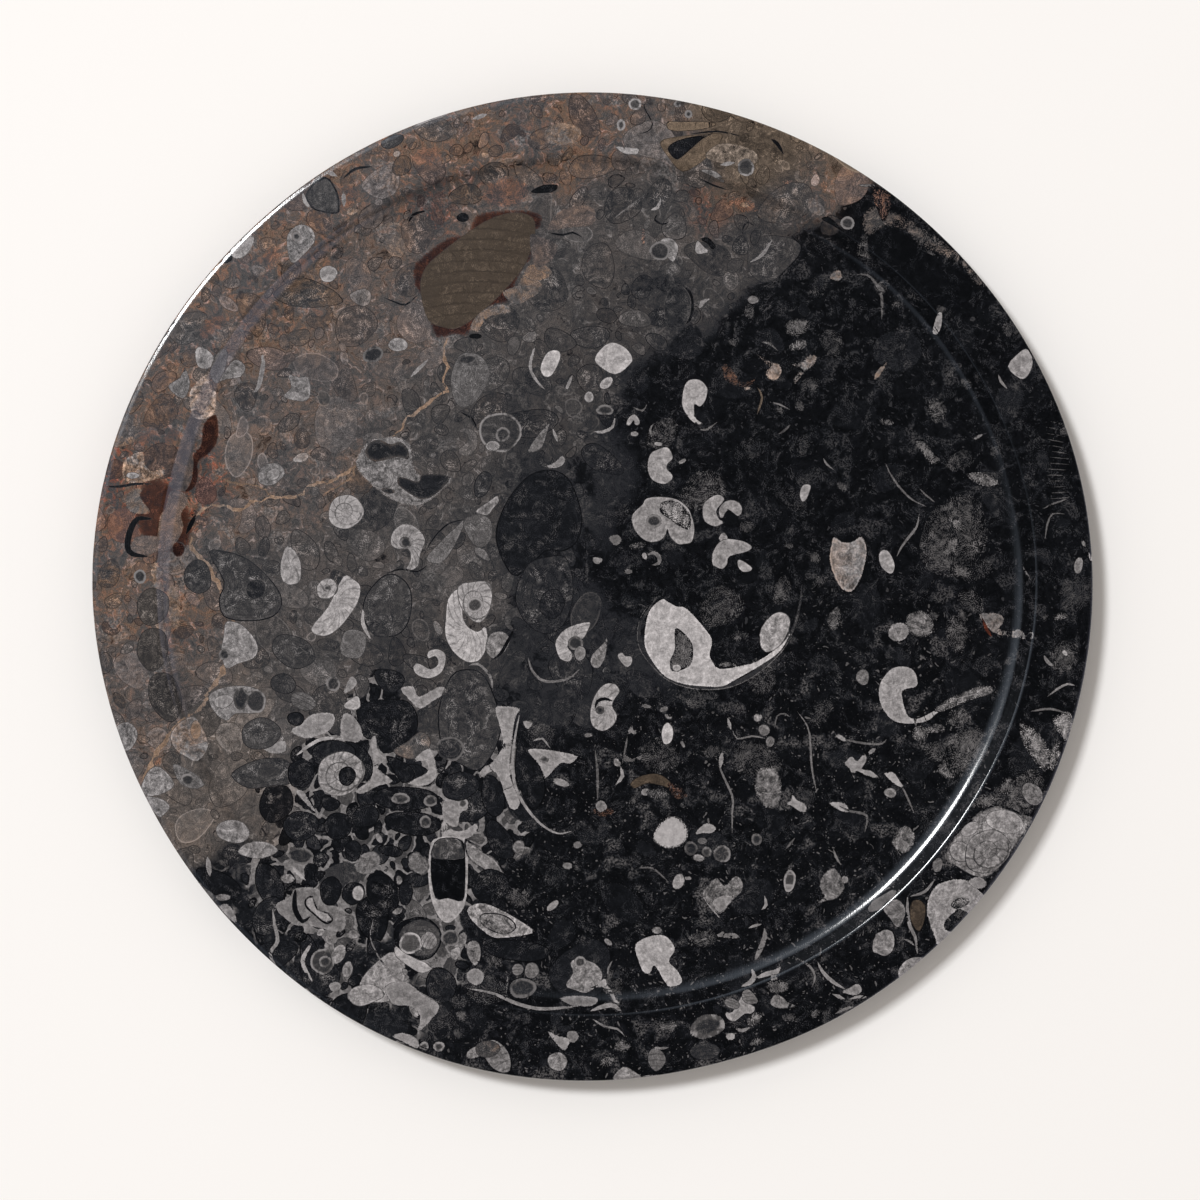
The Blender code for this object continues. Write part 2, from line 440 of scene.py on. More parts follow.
def chert_and_veins():
    """The olive chert nodule in its maroon rind, and the ochre veins that leave it."""
    return [
        area("maroon", 0.2, "-72,125 1,5 13,10 8,1 2,6 4,3 11,1 11,-1 2,-5 -4,-3 -1,-5 1,-5 -3,-3 -4,-8 "
            "0,-6 -13,-4 -6,-10 -6,0 -4,-1 -4,1 -2,11 -5,8", fade=1.0, wall_width=0.0),
        area("chert", 0.255, "-69,118 1,8 6,7 18,13 12,4 8,-2 1,-7 -2,-7 -4,-8 -12,-13 -12,-9 -7,0 -6,3"),
        area("tan", 0.4, "-49,104 3,5 6,4 6,0 1,-3 -5,-1 -5,-2 -3,-5"),
        oval("mud", 0.08, -47, 100.4, 5.4, 2.4), area("tan", 0.37, "-36,118 6,3 3,5 4,-2 3,-4 -4,-4 -7,-3"),
        oval("tan", 0.36, -22, 126, 11, 7), area("pink", 0.36, "-25,141 5,-1 6,-3 -2,-6 -6,-3 -2,3"),
        area("pink", 0.38, "-18,143 4,7 9,3 6,-2 -1,-6 -8,-1"), thread(0.1, 1, "-18,142 6,-1 4,1 4,-2"),
        vein("ochre", 0.44, 1.1, "-58,100 -2,-7 2,-5 -2,-6 2,-4 -5,-2 -7,-6 -4,-2 -2,-4 -4,-4 -7,-4 -14,-12 "
            "-13,-4 -2,-3 -4,-1 -9,0 -4,-2 -4,0 -3,-3 -4,0 -6,2 -6,-2 -4,-3"),
        vein("ochre", 0.42, 1.7, "-160,28 -2,-8 3,-6 6,-8 7,-14 3,-12 -7,-17 -4,-5 -3,-6 -4,-4 -6,-4 -9,-14 "
            "-4,-9"), vein("tan", 0.42, 3.6, "-175,10 1,-10 0,-8 2,-16 -4,-20"),
        vein("ochre", 0.36, 0.8, "-58,88 6,-4 3,-4"), vein("ochre", 0.36, 0.7, "-93,51 -4,-7 -6,-4 -5,-3"),
        vein("ochre", 0.36, 0.8, "-129,36 -5,4 -7,1 -9,2"),
    ]


def ironstone():
    """The blood-red and tan patches by the left rim."""
    return [
        oval("maroon", 0.2, -172, 28, 22, 30, 20, fade=1.5, wall_width=0.0),
        area("maroon", 0.18, "-151,69 1,-9 -3,-6 -5,-4 0,-6 -2,-5 -4,0 4,14 3,4 1,8", fade=0.4,
            wall_width=0.0), area("pink", 0.36, "-161,67 4,0 0,-5 -3,-7 0,-6 -1,-7 -3,-4 -4,1 0,7 2,8"),
        area("pink", 0.39, "-174,20 1,8 2,3 2,7 5,0 2,-4 -3,-5 1,-5 -2,-5 -3,-4 -5,-1"),
        area("pink", 0.42, "-184,18 2,2 8,0 1,-5 -4,-2 -4,-1 -4,3"),
        area("tan", 0.38, "-187,35 3,4 4,0 -1,-3 4,-6 -3,-1 -5,1"),
        thread(0.07, 2.6, "-176,27 -6,0 -3,-5 -1,-6 2,-3 6,-1"), thread(0.07, 2, "-163,21 2,4 2,4"),
        oval("maroon", 0.17, -166, 15, 5.4, 6, fade=0.4, wall_width=0.0),
        area("tan", 0.44, "-187,51 7,3 1,-5 3,-3 5,2 -1,-4 -6,-2 -6,-1 -4,3", mottle=1.8),
        oval("pale", 0.52, -184, 44.4, 6, 3), oval("tan", 0.5, -173, 45.4, 4, 3),
        thread(0.1, 1.2, "-195,40 6,0 6,1 7,0"),
        area("granular", 0.5, "-161,78 3,4 4,3 1,-6 2,-1 0,-5 -1,-4 -4,-2 -4,1 -1,5", brown=0.4),
        area("pale", 0.5, "-159,94 2,2 4,-2 2,-4 -3,-3 -4,1"),
        area("pale", 0.38, "-152,82 -1,5 4,8 3,-1 -1,-6 -2,-6"),
        area("pale", 0.46, "-150,82 5,8 3,1 3,-3 -2,-4 -6,-1"), thread(0.45, 2, "-136,78 2,2 2,10 -1,4"),
        area("pale", 0.42, "-170,80 5,4 2,6 -3,4 4,-8 1,-6 -3,-5"),
        area("mud", 0.24, "-164,5 2,4 4,2 4,-3 1,-8 -5,-3 -5,3", nested=1.6),
        thread(0.09, 2.4, "-174,-41 2,-5 0,-6"), oval("rust", 0.34, -174, -70, 4, 4),
        oval("tan", 0.4, -168, -8, 5, 18, 5), oval("mud", 0.26, -176, -8, 13, 15, olive=0.3, nested=1.5),
        oval("mud", 0.26, -176, -25, 13, 17, olive=0.25, wall=0.12),
        oval("mud", 0.24, -171, -44, 13, 20, 20, olive=0.2, nested=2.0),
        oval("rust", 0.34, -178, 60, 9, 7, 30), oval("rust", 0.3, -152, 104, 12, 8, 40),
        oval("rust", 0.32, -100, 155, 14, 10, 30), oval("tan", 0.42, -96, 150, 5, 3),
        oval("rust", 0.33, -66, 172, 13, 8, 10), oval("rust", 0.33, -35, 158, 20, 12, 10),
        oval("tan", 0.4, -12, 181, 15, 9), oval("rust", 0.32, -128, 132, 10, 7, 40),
        oval("rust", 0.3, -62, 153, 12, 5, 20), oval("rust", 0.32, -84, 180, 10, 5, 25),
        oval("rust", 0.3, -168, 60, 8, 6, 60),
    ]


def shells_at_the_top():
    """The small sections of the brown mud, from the left rim over the top."""
    return [
        area("pale", 0.27, "-115,156 2,4 4,4 4,-1 3,-5 1,-5 -1,-4 -8,1 -3,2", wall=0.08, wall_width=0.8),
        thread(0.5, 1.6, "-116,158 1,-4 2.4,-3"), thread(0.44, 2, "-99.6,158 0.2,-6"),
        thread(0.46, 2, "-108,167 6,-3"),
        area("pale", 0.47, "-122,141 5,4 5,-2 1,-5 -4,-5 -5,-4 -2,5", mottle=1.5),
        oval("ring", 0.4, -118.4, 140, 4, 4), oval("shell", 0.56, -106, 125.4, 7.4, 7),
        area("pale", 0.55, "-145,133 5,4.6 4,3.4 0.6,-3 -2.6,-5 -4,-2", mottle=1.4),
        oval("mud", 0.12, -146, 131, 5, 3, 30),
        area("mud", 0.28, "-128,117 4,4 8,3 12,-5 4,-5 -8,-2 -10,0 -7,2", brown=0.6, nested=2.4, wall=0.1),
        thread(0.08, 1.2, "-74,145 2,4 6,2"), oval("mud", 0.08, -52, 148, 5, 4),
        area("mud", 0.09, "-25,158 5,3 6,0 -2,-3"), oval("mud", 0.22, -80, 178, 10, 5, 20),
        thread(0.5, 2, "-71,184 5,3 8,2"), thread(0.48, 2, "-48,187 6,2"),
        thread(0.1, 1.2, "-100,163 5,4 7,1"), thread(0.12, 0.9, "-84,116 5,-2 4,-1 5,4"),
        oval("tan", 0.4, -80, 145, 7, 2), oval("ring", 0.55, 17, 193, 5.2, 5.2),
        oval("ring", 0.5, 11.4, 184.6, 3.6, 5), oval("ring", 0.42, 34, 193, 3, 3),
        oval("ring", 0.42, 38.4, 189, 3.4, 3.4), thread(0.1, 0.6, "18,181 4,1 2,3 -3,6 0,2 4,0"),
        area("shell", 0.6, "9,176 3,-2.6 5.4,-0.8 1.2,2.4 -3.6,0.6"),
        area("olive", 0.38, "30,186 0,-3 5,-1 10,1 5,2 -5,1 -10,0", wall=0.1),
        area("olive", 0.34, "30,172 -3,6 7,2 10,1 8,0 -2,-5 -6,-6 -8,-4"),
        area("black", 0.11, "30,175 3,-4 3,1 8,7 4,2 -8,-1 -7,-2"), thread(0.1, 0.8, "39,181 11,1 10,-2"),
        area("pale", 0.42, "45,172 5,5 7,0 8,-3 1,-4 -6,-2 -8,1", olive=0.6, mottle=1.6),
        oval("ring", 0.52, 61.4, 167.6, 7, 7), thread(0.5, 1.8, "51,168.6 6,1"),
        area("pale", 0.44, "43,166.4 5,-2.4 5,-2.6 -2,3.6 -4.4,2"), thread(0.12, 0.8, "42,164 6,-3 6,-2"),
        thread(0.09, 1.6, "71.4,179 2.6,-2 2.4,-4"), oval("rust", 0.42, 78, 162, 4, 2),
        oval("rust", 0.42, 93, 160, 2, 5), oval("rust", 0.3, 60, 153, 13, 6, -15),
        oval("tan", 0.44, 61, 153, 4, 2), thread(0.56, 1.5, "23.4,151 2.6,1 1.4,3.4"),
        thread(0.1, 1, "26,149.4 -1,-2.4 3,-1.6 2.4,0.6"),
        area("pale", 0.5, "27,139 4,1 3.4,-3 -0.4,-4 -1.6,-3 -2.4,2 -1,3.6"),
        oval("ring", 0.4, 27, 134.6, 8, 8, 20), oval("rust", 0.4, 20.4, 140, 1.4, 7),
        area("shell", 0.54, "41,134.6 1,4.4 3,-3 2.4,-1.6 -4.4,-1.2"),
        area("mud", 0.08, "43,139.4 3,-2 2,-2.4 1.4,1.6 -3,3.4"), thread(0.44, 1.4, "63,130 5,3 4,6"),
        area("tan", 0.46, "95,124 2,2.4 2,0.6 1.4,-3 -2.4,-1.6"), thread(0.48, 1.8, "43,111 1,3 3,1.4"),
        oval("pale", 0.4, 64.4, 115, 5, 3.6), thread(0.09, 1.6, "36,121 3,-3 1,-5 -1,-6 -3,-2"),
        oval("mud", 0.2, 34, 112, 18, 11, 80, wall=0.34), thread(0.12, 0.8, "60.4,140 0,4 2,2 2.6,-1.6"),
        area("mud", 0.09, "91.6,147 4.4,-2.6 3.4,-1.8 -2.4,3.4 -3,2"),
        area("mud", 0.07, "110,139 2,4 5,0 6,0 4,-3 2,-4 8,-4 4,-3 5,-1 4,-3 2,-7 -4,-8 -8,2 -12,6 -10,8 "
            "-7,7", mottle=0.5, fade=0.5, wall_width=0.0),
        area("mud", 0.3, "110,140 -2,7 4,5 9,-2 19,-12 9,-8 9,-10 -6,2 -5,7 -17,8 -4,5 -9,2", brown=0.35,
            fade=1.5, wall_width=0.0), area("rust", 0.33, "112,157 3,2 4,-2 0,-6 -3,-5"),
        oval("ring", 0.42, 102, 145.4, 5.6, 5.6), oval("pale", 0.44, 110, 160.4, 8, 1.4),
    ] + [
        thread(0.4, 0.4, f"{8 + 1.6 * row},{147 + row} {5 - 0.2 * row},{4.4 + 0.1 * row}")
        for row in range(8)
    ]


def goniatites_in_the_grey():
    """The pale coiled shells in the grey mud, and the black ovals beside them."""
    return [
        area("mud", 0.12, "-39,20 2,9 5,9 7,7 8,2 7,-3 4,-8 2,-9 -2,-9 -6,-4 -7,0 -11,-10 -6,6", speckle=0.7,
            wall=0.06, wall_width=0.5),
        area("mud", 0.17, "-26,9 8,3 7,0 3,-8 0,-10 -4,-10 -8,-3 -8,6 -3,10", wall=0.08, speckle=0.4,
            nested=3.0), area("mud", 0.15, "-20,-3 6,2 3,-6 -4,-6 -6,3", nested=1.5),
        area("shell", 0.68, "-54,-1 -4,-4 -1,-9 0,-6 3,-6 5,-4 5,0 3,4 1,5 -1,5 -3,-2 -4,2 -2,4 0,6",
            septa=17, wall=0.3),
        area("coiled", 0.62, "-54,0 1,-8 5,-6 4,0 3,5 1,7 -2,4 -6,0", septa=14, wall=0.3),
        oval("ring", 0.5, -47.2, -7.4, 6.8, 6.2), area("pale", 0.47, "-41,-19 5,1 3,-3 -2,-5 -5,-3 -3,4"),
        thread(0.07, 1.4, "-31,-16 -3,-6 -3,-5 -4,-3"),
        area("shell", 0.62, "-15,-23 2,4 4,3 8,2 -1,-4 -2,-3 -4,0 -2,-3 2,-3 -1,-3 -4,1", septa=15,
            wall=0.28), oval("ring", 0.42, -6.8, -22.8, 6.6, 5.6), oval("shell", 0.48, -5, -26.8, 5, 6),
        area("shell", 0.6, "-72,-31 1,-4 5,-2 5,2 2,4 0,4 -3,2 -4,-1 0,-3 3,1 1,-3 -3,-2 -4,2"),
        area("shell", 0.56, "-69,13 -1,-5 -5,-2 2,5 -1,4 -4,0 -3,2 1,5 4,3 5,-1 4,-5", septa=18),
        oval("ring", 0.42, -75, 17.6, 5, 5), area("pale", 0.4, "-67,11 5,6 5,5 6,5 -3,-8 -4,-7 -4,-3"),
        thread(0.12, 0.8, "-68,12 4,7 6,6 7,2"),
        oval("speckled", 0.24, -82, -8, 19, 27, -12, wall=0.1, wall_width=0.5),
        thread(0.56, 1.6, "-92,-9 0,-6 3,-6"), area("pale", 0.38, "-100,-19 4,2 5,-2 0,-6 -3,-4 -7,2"),
        area("septate", 0.58, "-119,1 2,2 0,7 -3,5 -3,1 -2,-6 0,-6 2,-3", septa=5),
        oval("spiral", 0.62, -99, 30, 14, 14, 30, septa=12),
        area("shell", 0.64, "-100,4 4,-1 3,-3 -1,-6 -3,-5 -5,-6 -6,-3 -5,3 7,9", septa=14, wall=0.34),
        area("pale", 0.6, "-104,-4 2,3 -2,4 -4,0 -2.6,-3 0.6,-4 3,-1", septa=6, wall=0.3),
        area("mud", 0.25, "-154,14 8,0 8,-3 8,-7 5,-7 0,-6 -5,-4 -10,-1 -8,2 -2,7 2,7", nested=2.4,
            wall=0.09, wall_width=0.5), oval("mud", 0.17, -135, -1, 9, 8, 30, wall=0.4, wall_width=0.4),
        area("pale", 0.52, "-147,-14 6,-1 5,-5 2,-5 -2,-4 -6,-2 -5,-2 -2,7 1,6", wall=0.2),
        oval("ring", 0.4, -147.6, -27.4, 5, 4.6),
        area("pale", 0.48, "-154,-45 2,3 6,2 9,0 6,-4 -1,-5 -4,-2 -7,0 -4,-3 -5,4", wall=0.2),
        oval("ring", 0.46, -135, -46, 8, 10), oval("ring", 0.4, -141, -45, 6, 9),
        oval("shell", 0.52, -148, -46, 8, 5.4, 20), oval("mud", 0.22, -124, -39, 11, 8, -10, wall=0.08),
        oval("mud", 0.24, -120, -26, 18, 13, -20, nested=2.0, wall=0.1),
        oval("ring", 0.5, -106.6, -0.6, 3.4, 3), oval("ring", 0.42, -104, -39, 6, 6),
        oval("striped", 0.34, -116, -46, 11, 7, -25, septa=4),
        area("pale", 0.48, "-169,-60 3,5 6,3 4,-5 2,-7 -4,-6 -5,2 -4,3", brown=0.5),
        oval("ochre", 0.44, -159, -57.4, 4, 8),
        area("pale", 0.5, "-181,-82 3,8 5,2 6,-7 -5,-4 -6,-1", mottle=1.5),
        oval("pale", 0.46, -187, -60, 10, 12, mottle=1.5), oval("ring", 0.42, -181, 4, 5, 6),
        area("pale", 0.4, "-168,-71 3,-8 7,-2 3,3 -7,5"), oval("ring", 0.44, -162, -77.4, 5.4, 5.4),
        area("mud", 0.24, "-145,-76 4,4 8,3 9,0 4,-4 -1,-6 -7,-1 -10,-1", nested=2.0, wall=0.08),
        area("pale", 0.48, "-180,-84 8,-1 3,-3 -2,-3 -3,-1"), oval("pale", 0.5, -144, -98, 14, 9, -10),
        oval("pale", 0.45, -129, 45, 11, 9, 25, wall=0.2), oval("shell", 0.52, -128, 45, 6, 4.6, 25),
        area("pale", 0.46, "-124,76 3,4 -1,5 4,-1 4,0 1,-7 -3,-3"),
        area("pale", 0.46, "-73,57 -5,3 -6,0 -6,-2 -4,-5 -1,-5 4,-5 7,-6 8,-4 8,0 6,4 6,6 -4,2 -8,-1 -4,5",
            mottle=1.5, fade=0.7, wall_width=0.0),
        area("mud", 0.13, "-91,53 1,4 4,2 5,-2 4,1 3,-3 0,-4 -4,1 -9,-2", mottle=1.6, speckle=0.6, fade=1.2),
        area("mud", 0.14, "-78,41 1,3 7,-2 2,3 11,-1 -6,-7 -5,-2 -5,2", fade=0.7),
        oval("mud", 0.15, -82, 38.4, 6, 2, -10, fade=0.6),
        area("shell", 0.67, "-20,91 2,3 3,1 2,-1 0,-3 -3,-6 -3,-1 -2,3"),
        thread(0.5, 1.3, "-23,97 -2,-9 3,-6 3,-3"), oval("ring", 0.46, -37, 62, 17, 16, 20, mottle=1.6),
        oval("spiral", 0.52, -40, 56.4, 6, 4.6), oval("ring", 0.4, -36, 61, 6, 6),
        oval("mud", 0.2, -44, 41, 11, 7, 70, nested=1.4),
        area("pale", 0.5, "-47,30 5,4 4,2.6 0.6,-2.6 -2.6,-3 -2,-2.6"),
        area("pale", 0.36, "-52,26 6,3 5,-2 1,-6 -3,-5 -5,1", nested=1.5),
        area("pale", 0.36, "-56,76 -1,8 3,8 4,2 6,-2 3,-7 -3,-7 -4,-5 -5,-1", nested=2.0),
        oval("ring", 0.38, -50, 91, 8, 4.4, 10), thread(0.1, 1, "-53,70 5,-3 2,-5"),
        oval("shell", 0.56, -1.4, 76, 4, 5), area("pale", 0.4, "-26,54 3,0 3,2 2,6 1,4 -4,-4 -3,-4"),
        thread(0.5, 1.3, "-16,63.4 2,-5.4"), area("spar", 0.5, "-19,48 4,2 3,2.6 1,-2.6 -3,-2.4"),
        oval("pale", 0.5, -78, 97, 8, 6), oval("ring", 0.36, -88, 93, 9, 6, 20),
        thread(0.5, 1.6, "-73,84 7,7"), thread(0.44, 1.4, "-8,85 -3,-7"),
        area("pale", 0.4, "-48,16 5,-1.4 2,-4.6 -5,2.4"), thread(0.1, 0.9, "-83,5 6,2 7,-1 4,3"),
        thread(0.4, 1.2, "-26,-28 2,-6 5,-4 9,1 5,4"), thread(0.42, 1.2, "-50,-32 4,1 5,-5 1,-6"),
    ]


def mosaic_shells():
    """Black oval sections with bright spar squeezed between them, at the lower left."""
    return [
        area("mud", 0.23, "-57,-36 7,3 6,-2 4,-7 3,-10 0,-8 -4,-9 -5,-5 -6,2 -8,6 -2,16", nested=4.0,
            wall=0.07, wall_width=0.5),
        area("spar", 0.55, "-39,-49 4,1 6,-1 -2,-4 -2,-15 0,-8 4,-11 -4,-2 -4,11 -3,4 -5,-3 0,3 5,4 3,4 "
            "1,5"), thread(0.5, 1.3, "-29,-50 -2,-10 -1,-10 1,-10 4,-8 6,-7 7,-4 6,1"),
        area("black", 0.1, "-30,-61 2,1 4,-6 5,-12 -1,-8 -4,-4 -4,6 -3,8 0,8"),
        area("spar", 0.56, "-26,-66 4,1 8,-1 8,-2 -3,-3 -4,0 -6,-6 -2,5"),
        oval("ring", 0.5, -19.4, -69, 4, 4), area("spar", 0.5, "-28,-54 4,-0.6 -2,-2.8"),
        thread(0.45, 1, "-24,-62 4,1 3,-4"), oval("spar", 0.5, -12.6, -78.6, 7, 3, -20),
        area("black", 0.11, "-95,-49 5,3 8,1 8,-1 4,-6 -1,-7 -6,-6 -7,-2 -3,5 -5,2", nested=3.4),
        area("shell", 0.62, "-100,-48 3,3 3,1.2 1,-4.2 -3,-1.6"),
        area("spar", 0.5, "-100,-43 3,7 2.6,-2 -1.6,-3"), area("spar", 0.5, "-100,-51 5,-2 3,-7 -4,-3 -5,2"),
        area("spar", 0.54, "-77,-41 5,1 2,-4 3,1 6,3 3,-2 -6,-4 -5,-3 -4,3"),
        area("black", 0.11, "-101,-63 7,0 5,-5 1,-6 -3,-4 -6,0 -4,2"),
        area("spar", 0.52, "-89,-62 2,2 1,-6 3,-3 -3,-4 6,-5 -6,-2 -6,-3 -3,1 6,5 1,7"),
        area("black", 0.11, "-83,-68 5,-1 5,-3 2,-4 -5,-3 -4,5"),
        area("mud", 0.33, "-80,-66 6,4 5,4 4,-3 -1,-5 -4,-3 -5,0", brown=0.4, nested=2.0),
        area("spar", 0.55, "-74,-79 5,3 3,2 -1,4 -5,0 6,5 3,-5 0,-7 -5,-3"),
        oval("black", 0.1, -75, -85, 27, 10, 0, wall=0.05), oval("ring", 0.42, -77, -85, 7.4, 4.8),
        oval("ring", 0.4, -65, -86, 5.4, 4.8), oval("black", 0.1, -72, -95, 23, 10, -4),
        oval("ring", 0.4, -67, -94.4, 5, 5),
        area("spar", 0.52, "-60,-93 0,6 2,3 3,-2 4,0 1,-3 -3,-2 -1,-5 -3,0"),
        oval("ring", 0.5, -52, -87, 4.4, 4.4), oval("black", 0.14, -53, -80, 15, 12, 10, nested=2.4),
        oval("ring", 0.34, -57, -65, 11, 10, nested=1.6), oval("black", 0.12, -40, -84, 9, 18, 12),
        area("spar", 0.54, "-60,-93 3,-4 5,-1 5,3 1,-2 -4,-4 -10,0"), oval("black", 0.13, -104, -67, 18, 11),
        thread(0.58, 1.5, "-119,-68 5,4 6,3 8,0"),
        oval("spiral", 0.56, -101, -75, 19, 18, 20, septa=14, mottle=1.2),
        oval("black", 0.1, -98.4, -76, 7, 8), oval("black", 0.12, -117, -75, 11, 12),
        area("spar", 0.54, "-121,-58 4,3 5,4 8,0 0,-5 -4,-3 -7,-2"), oval("black", 0.13, -119, -53, 7, 6),
        oval("black", 0.13, -117, -96, 15, 12, nested=2.0), oval("black", 0.11, -102, -96, 12, 11),
        area("spar", 0.5, "-119,-82 3,-4 4,-4 3,-3 -4,6 -3,5"), oval("black", 0.12, -91, -92, 12, 9, 20),
        area("spar", 0.5, "-133,-64 6,1.2 3,2.8 1,-6 -6,-0.8"),
        oval("mud", 0.25, -133, -59, 16, 13, nested=2.2),
        area("shell", 0.6, "-65,-104 2,3 6,1 6,-1 1,-5 0,-12 -1,-9 -3,-5 -4,-3 -4,3 -3,8 -1,11",
            wall_width=0.0),
        area("black", 0.06, "-64,-104 2,2 5,1 5,-1 1,-6 0,-10 -1,-8 -6,1 -5,0 -2,11", mottle=0.3,
            wall_width=0.0), area("speckled", 0.24, "-64,-104 3,3 7,0 2,-4 0,-4 -12,0"),
        oval("pale", 0.42, -70, -111, 11, 8, 120, wall=0.06, wall_width=0.8),
        area("pale", 0.42, "-95,-113 2,5 5,2 3,-3 -2,-5 -5,-1.6"), oval("black", 0.1, -81, -106, 10, 5, -10),
        oval("black", 0.1, -84, -123, 16, 13, -60, nested=2.6), oval("black", 0.11, -96, -123, 10, 9, 20),
        oval("shell", 0.6, -94, -123, 5, 6), oval("black", 0.12, -75, -123, 6, 10),
        area("pale", 0.5, "-51,-101 7,-5 6,-4 3,-7 -5,1 -5,3 -4,3 -2,4", wall=0.05, wall_width=0.7),
        oval("black", 0.11, -41, -120, 16, 13, 20, nested=2.0),
        area("granular", 0.55, "-50,-129 5,2 7,-2 12,-7 2,-3 -14,-2 -6,3 -5,5"),
        oval("granular", 0.44, -38, -135, 15, 8, -15, wall=0.1, wall_width=0.5),
        oval("black", 0.09, -70, -141, 19, 18), oval("mud", 0.26, -69, -141, 16, 15, nested=2.0),
        oval("ring", 0.6, -73, -143, 9, 9), oval("striped", 0.5, -65.6, -142, 7, 7, 60, septa=5),
        oval("ring", 0.4, -57, -141, 7.4, 7),
        area("shell", 0.62, "-79,-144 4,-3 9,-4 3,2 2,4 -2,-7 -5,-3 -6,3 -5,4"),
        thread(0.44, 0.8, "-88,-134 -1,-7 4,-8 7,-8 10,-6 8,-4"), oval("black", 0.11, -30, -146, 26, 9, -4),
        oval("striped", 0.4, -30, -153.6, 5, 5), oval("pale", 0.4, -24.4, -154, 6, 7),
        oval("ring", 0.36, -28, -161, 11, 8, wall_width=1.2),
        area("mud", 0.13, "-18,-157 4,8 7,5 7,3 7,-5 -1,-10 -4,-8 -12,-1"),
        area("pale", 0.5, "-11,-160 3,5 -1,4 3,2 7,-2 3,-4 -1,-4 -5,-4 -5,1", mottle=1.4),
        oval("ring", 0.46, -5, -150.6, 5, 5), area("spar", 0.46, "-13,-165 7,1 8,-1 -2,-3 -8,0"),
        oval("spar", 0.5, -47, -156.4, 7, 7), thread(0.48, 1.4, "-50,-161 10,-2 10,-4 10,-2 16,1"),
        thread(0.4, 0.9, "-34,-156 -0.6,-7"), area("pale", 0.55, "-98,-163 3,3 7,1 5,-4 -4,-3 -6,-2 -4,2"),
        area("spar", 0.5, "-83,-160 8,2 7,-5 7,-5 -6,-8 -3,-2 1,6 -4,4 -7,1"),
        area("spar", 0.52, "-80,-180 4,1.6 6,-2.6 0,-4 -6,3"), oval("ring", 0.5, -67.4, -184, 4, 4),
        oval("ring", 0.5, -61.4, -184, 5, 4), oval("striped", 0.46, -38, -188, 9, 15, 30, septa=5),
        oval("mud", 0.3, -42, -185, 10, 7, brown=0.5), oval("spar", 0.44, -8, -180, 5, 5),
        area("spar", 0.52, "-18,-178 5,-2 4,-1 -2,-4.6 -3.4,2.6"),
        oval("pale", 0.46, -14, -190, 8, 8, mottle=1.5), oval("spar", 0.4, -6, -103.6, 4, 3),
        oval("spar", 0.5, -16, -128, 6, 3, 40), oval("spar", 0.44, -10, -112, 4, 3),
        area("pale", 0.52, "-142,-106 3,3 5,1 5,-1 3,-3 -6,-3 -7,1"), oval("pale", 0.42, -148, -124.4, 7, 3),
        area("spar", 0.48, "-149.4,-128 3.4,1 3,-4 0.6,-4 -3.6,3"),
        thread(0.48, 1.6, "-128,-129 1,-7 1,-6 -3,-5 3,-6"),
        area("spar", 0.47, "-127,-128 6,4 2,3 9,0 2,-6 8,-2 0,-9 -12,2 -8,1"),
        area("shell", 0.64, "-115,-125 3,1 2,-5 5,-2 1,-3 -3,-1 -5,4 -3,3", wall=0.06, wall_width=0.7),
        thread(0.07, 2.2, "-119,-121 0,-8 3,-5 3,2"), oval("black", 0.11, -105, -122, 9, 12),
        oval("ring", 0.36, -117, -108, 10, 7), thread(0.55, 1.5, "-120.6,-112 2.6,-3 3.2,-3"),
        oval("pale", 0.5, -122, -117, 6, 4), oval("ring", 0.46, -108, -150, 10, 10),
        oval("ring", 0.44, -107, -150, 5, 5), thread(0.56, 1.8, "-112,-142 -4,-8 4,-8"),
        oval("spar", 0.48, -103, -160, 5, 4), thread(0.46, 2.2, "-154,-108 1,-8"),
        oval("black", 0.12, -96, -106, 7, 9),
    ]


def large_open_shell():
    """The big shell near the middle: a dark wall, a ragged white filling and black mud inside."""
    return [
        thread(0.2, 2, "26,-4 -4,-6 -3,-6 0,-6 3,-6 4,-6 8,-4 9,-2 8,0 8,2 8,5 7,7 6,8 3,10 1,9"),
        thread(0.36, 0.5, "24,-6 -4,-5 -2,-7 1,-7 5,-7 7,-6 10,-3 11,0 9,3 9,6 8,9 4,11 2,10"),
        area("shell", 0.69, "28,-5 -4,-3 -2,-4 -1,-6 0,-6 3,-6 5,-6 7,-3 8,-1 8,0 6,3 12,7 6,5 4,8 -4,-6 "
            "-10,-7 -8,-2 -7,-1 -3,3 -1,3 1,5 -2,4 -8,9 -4,1 -4,2", wall_width=0.0),
        area("cloud", 0.38, "33,-17 3,-1 4,-5 0,-7 -3,-3 -5,-1 -1,4 2,5", fade=1.5),
        oval("shell", 0.6, 33.8, -32.6, 3.6, 3.2),
        oval("shell", 0.6, 73, -18, 17, 11, 62, mottle=1.5, wall=0.2, wall_width=0.35),
        area("cloud", 0.42, "50,-31.6 3,1.4 4,-0.8 1,-1 -4,-0.4", fade=0.8),
        area("cloud", 0.26, "54,-20 5,2.5 4,-2.5 -5,-1.8", fade=2.0),
    ]


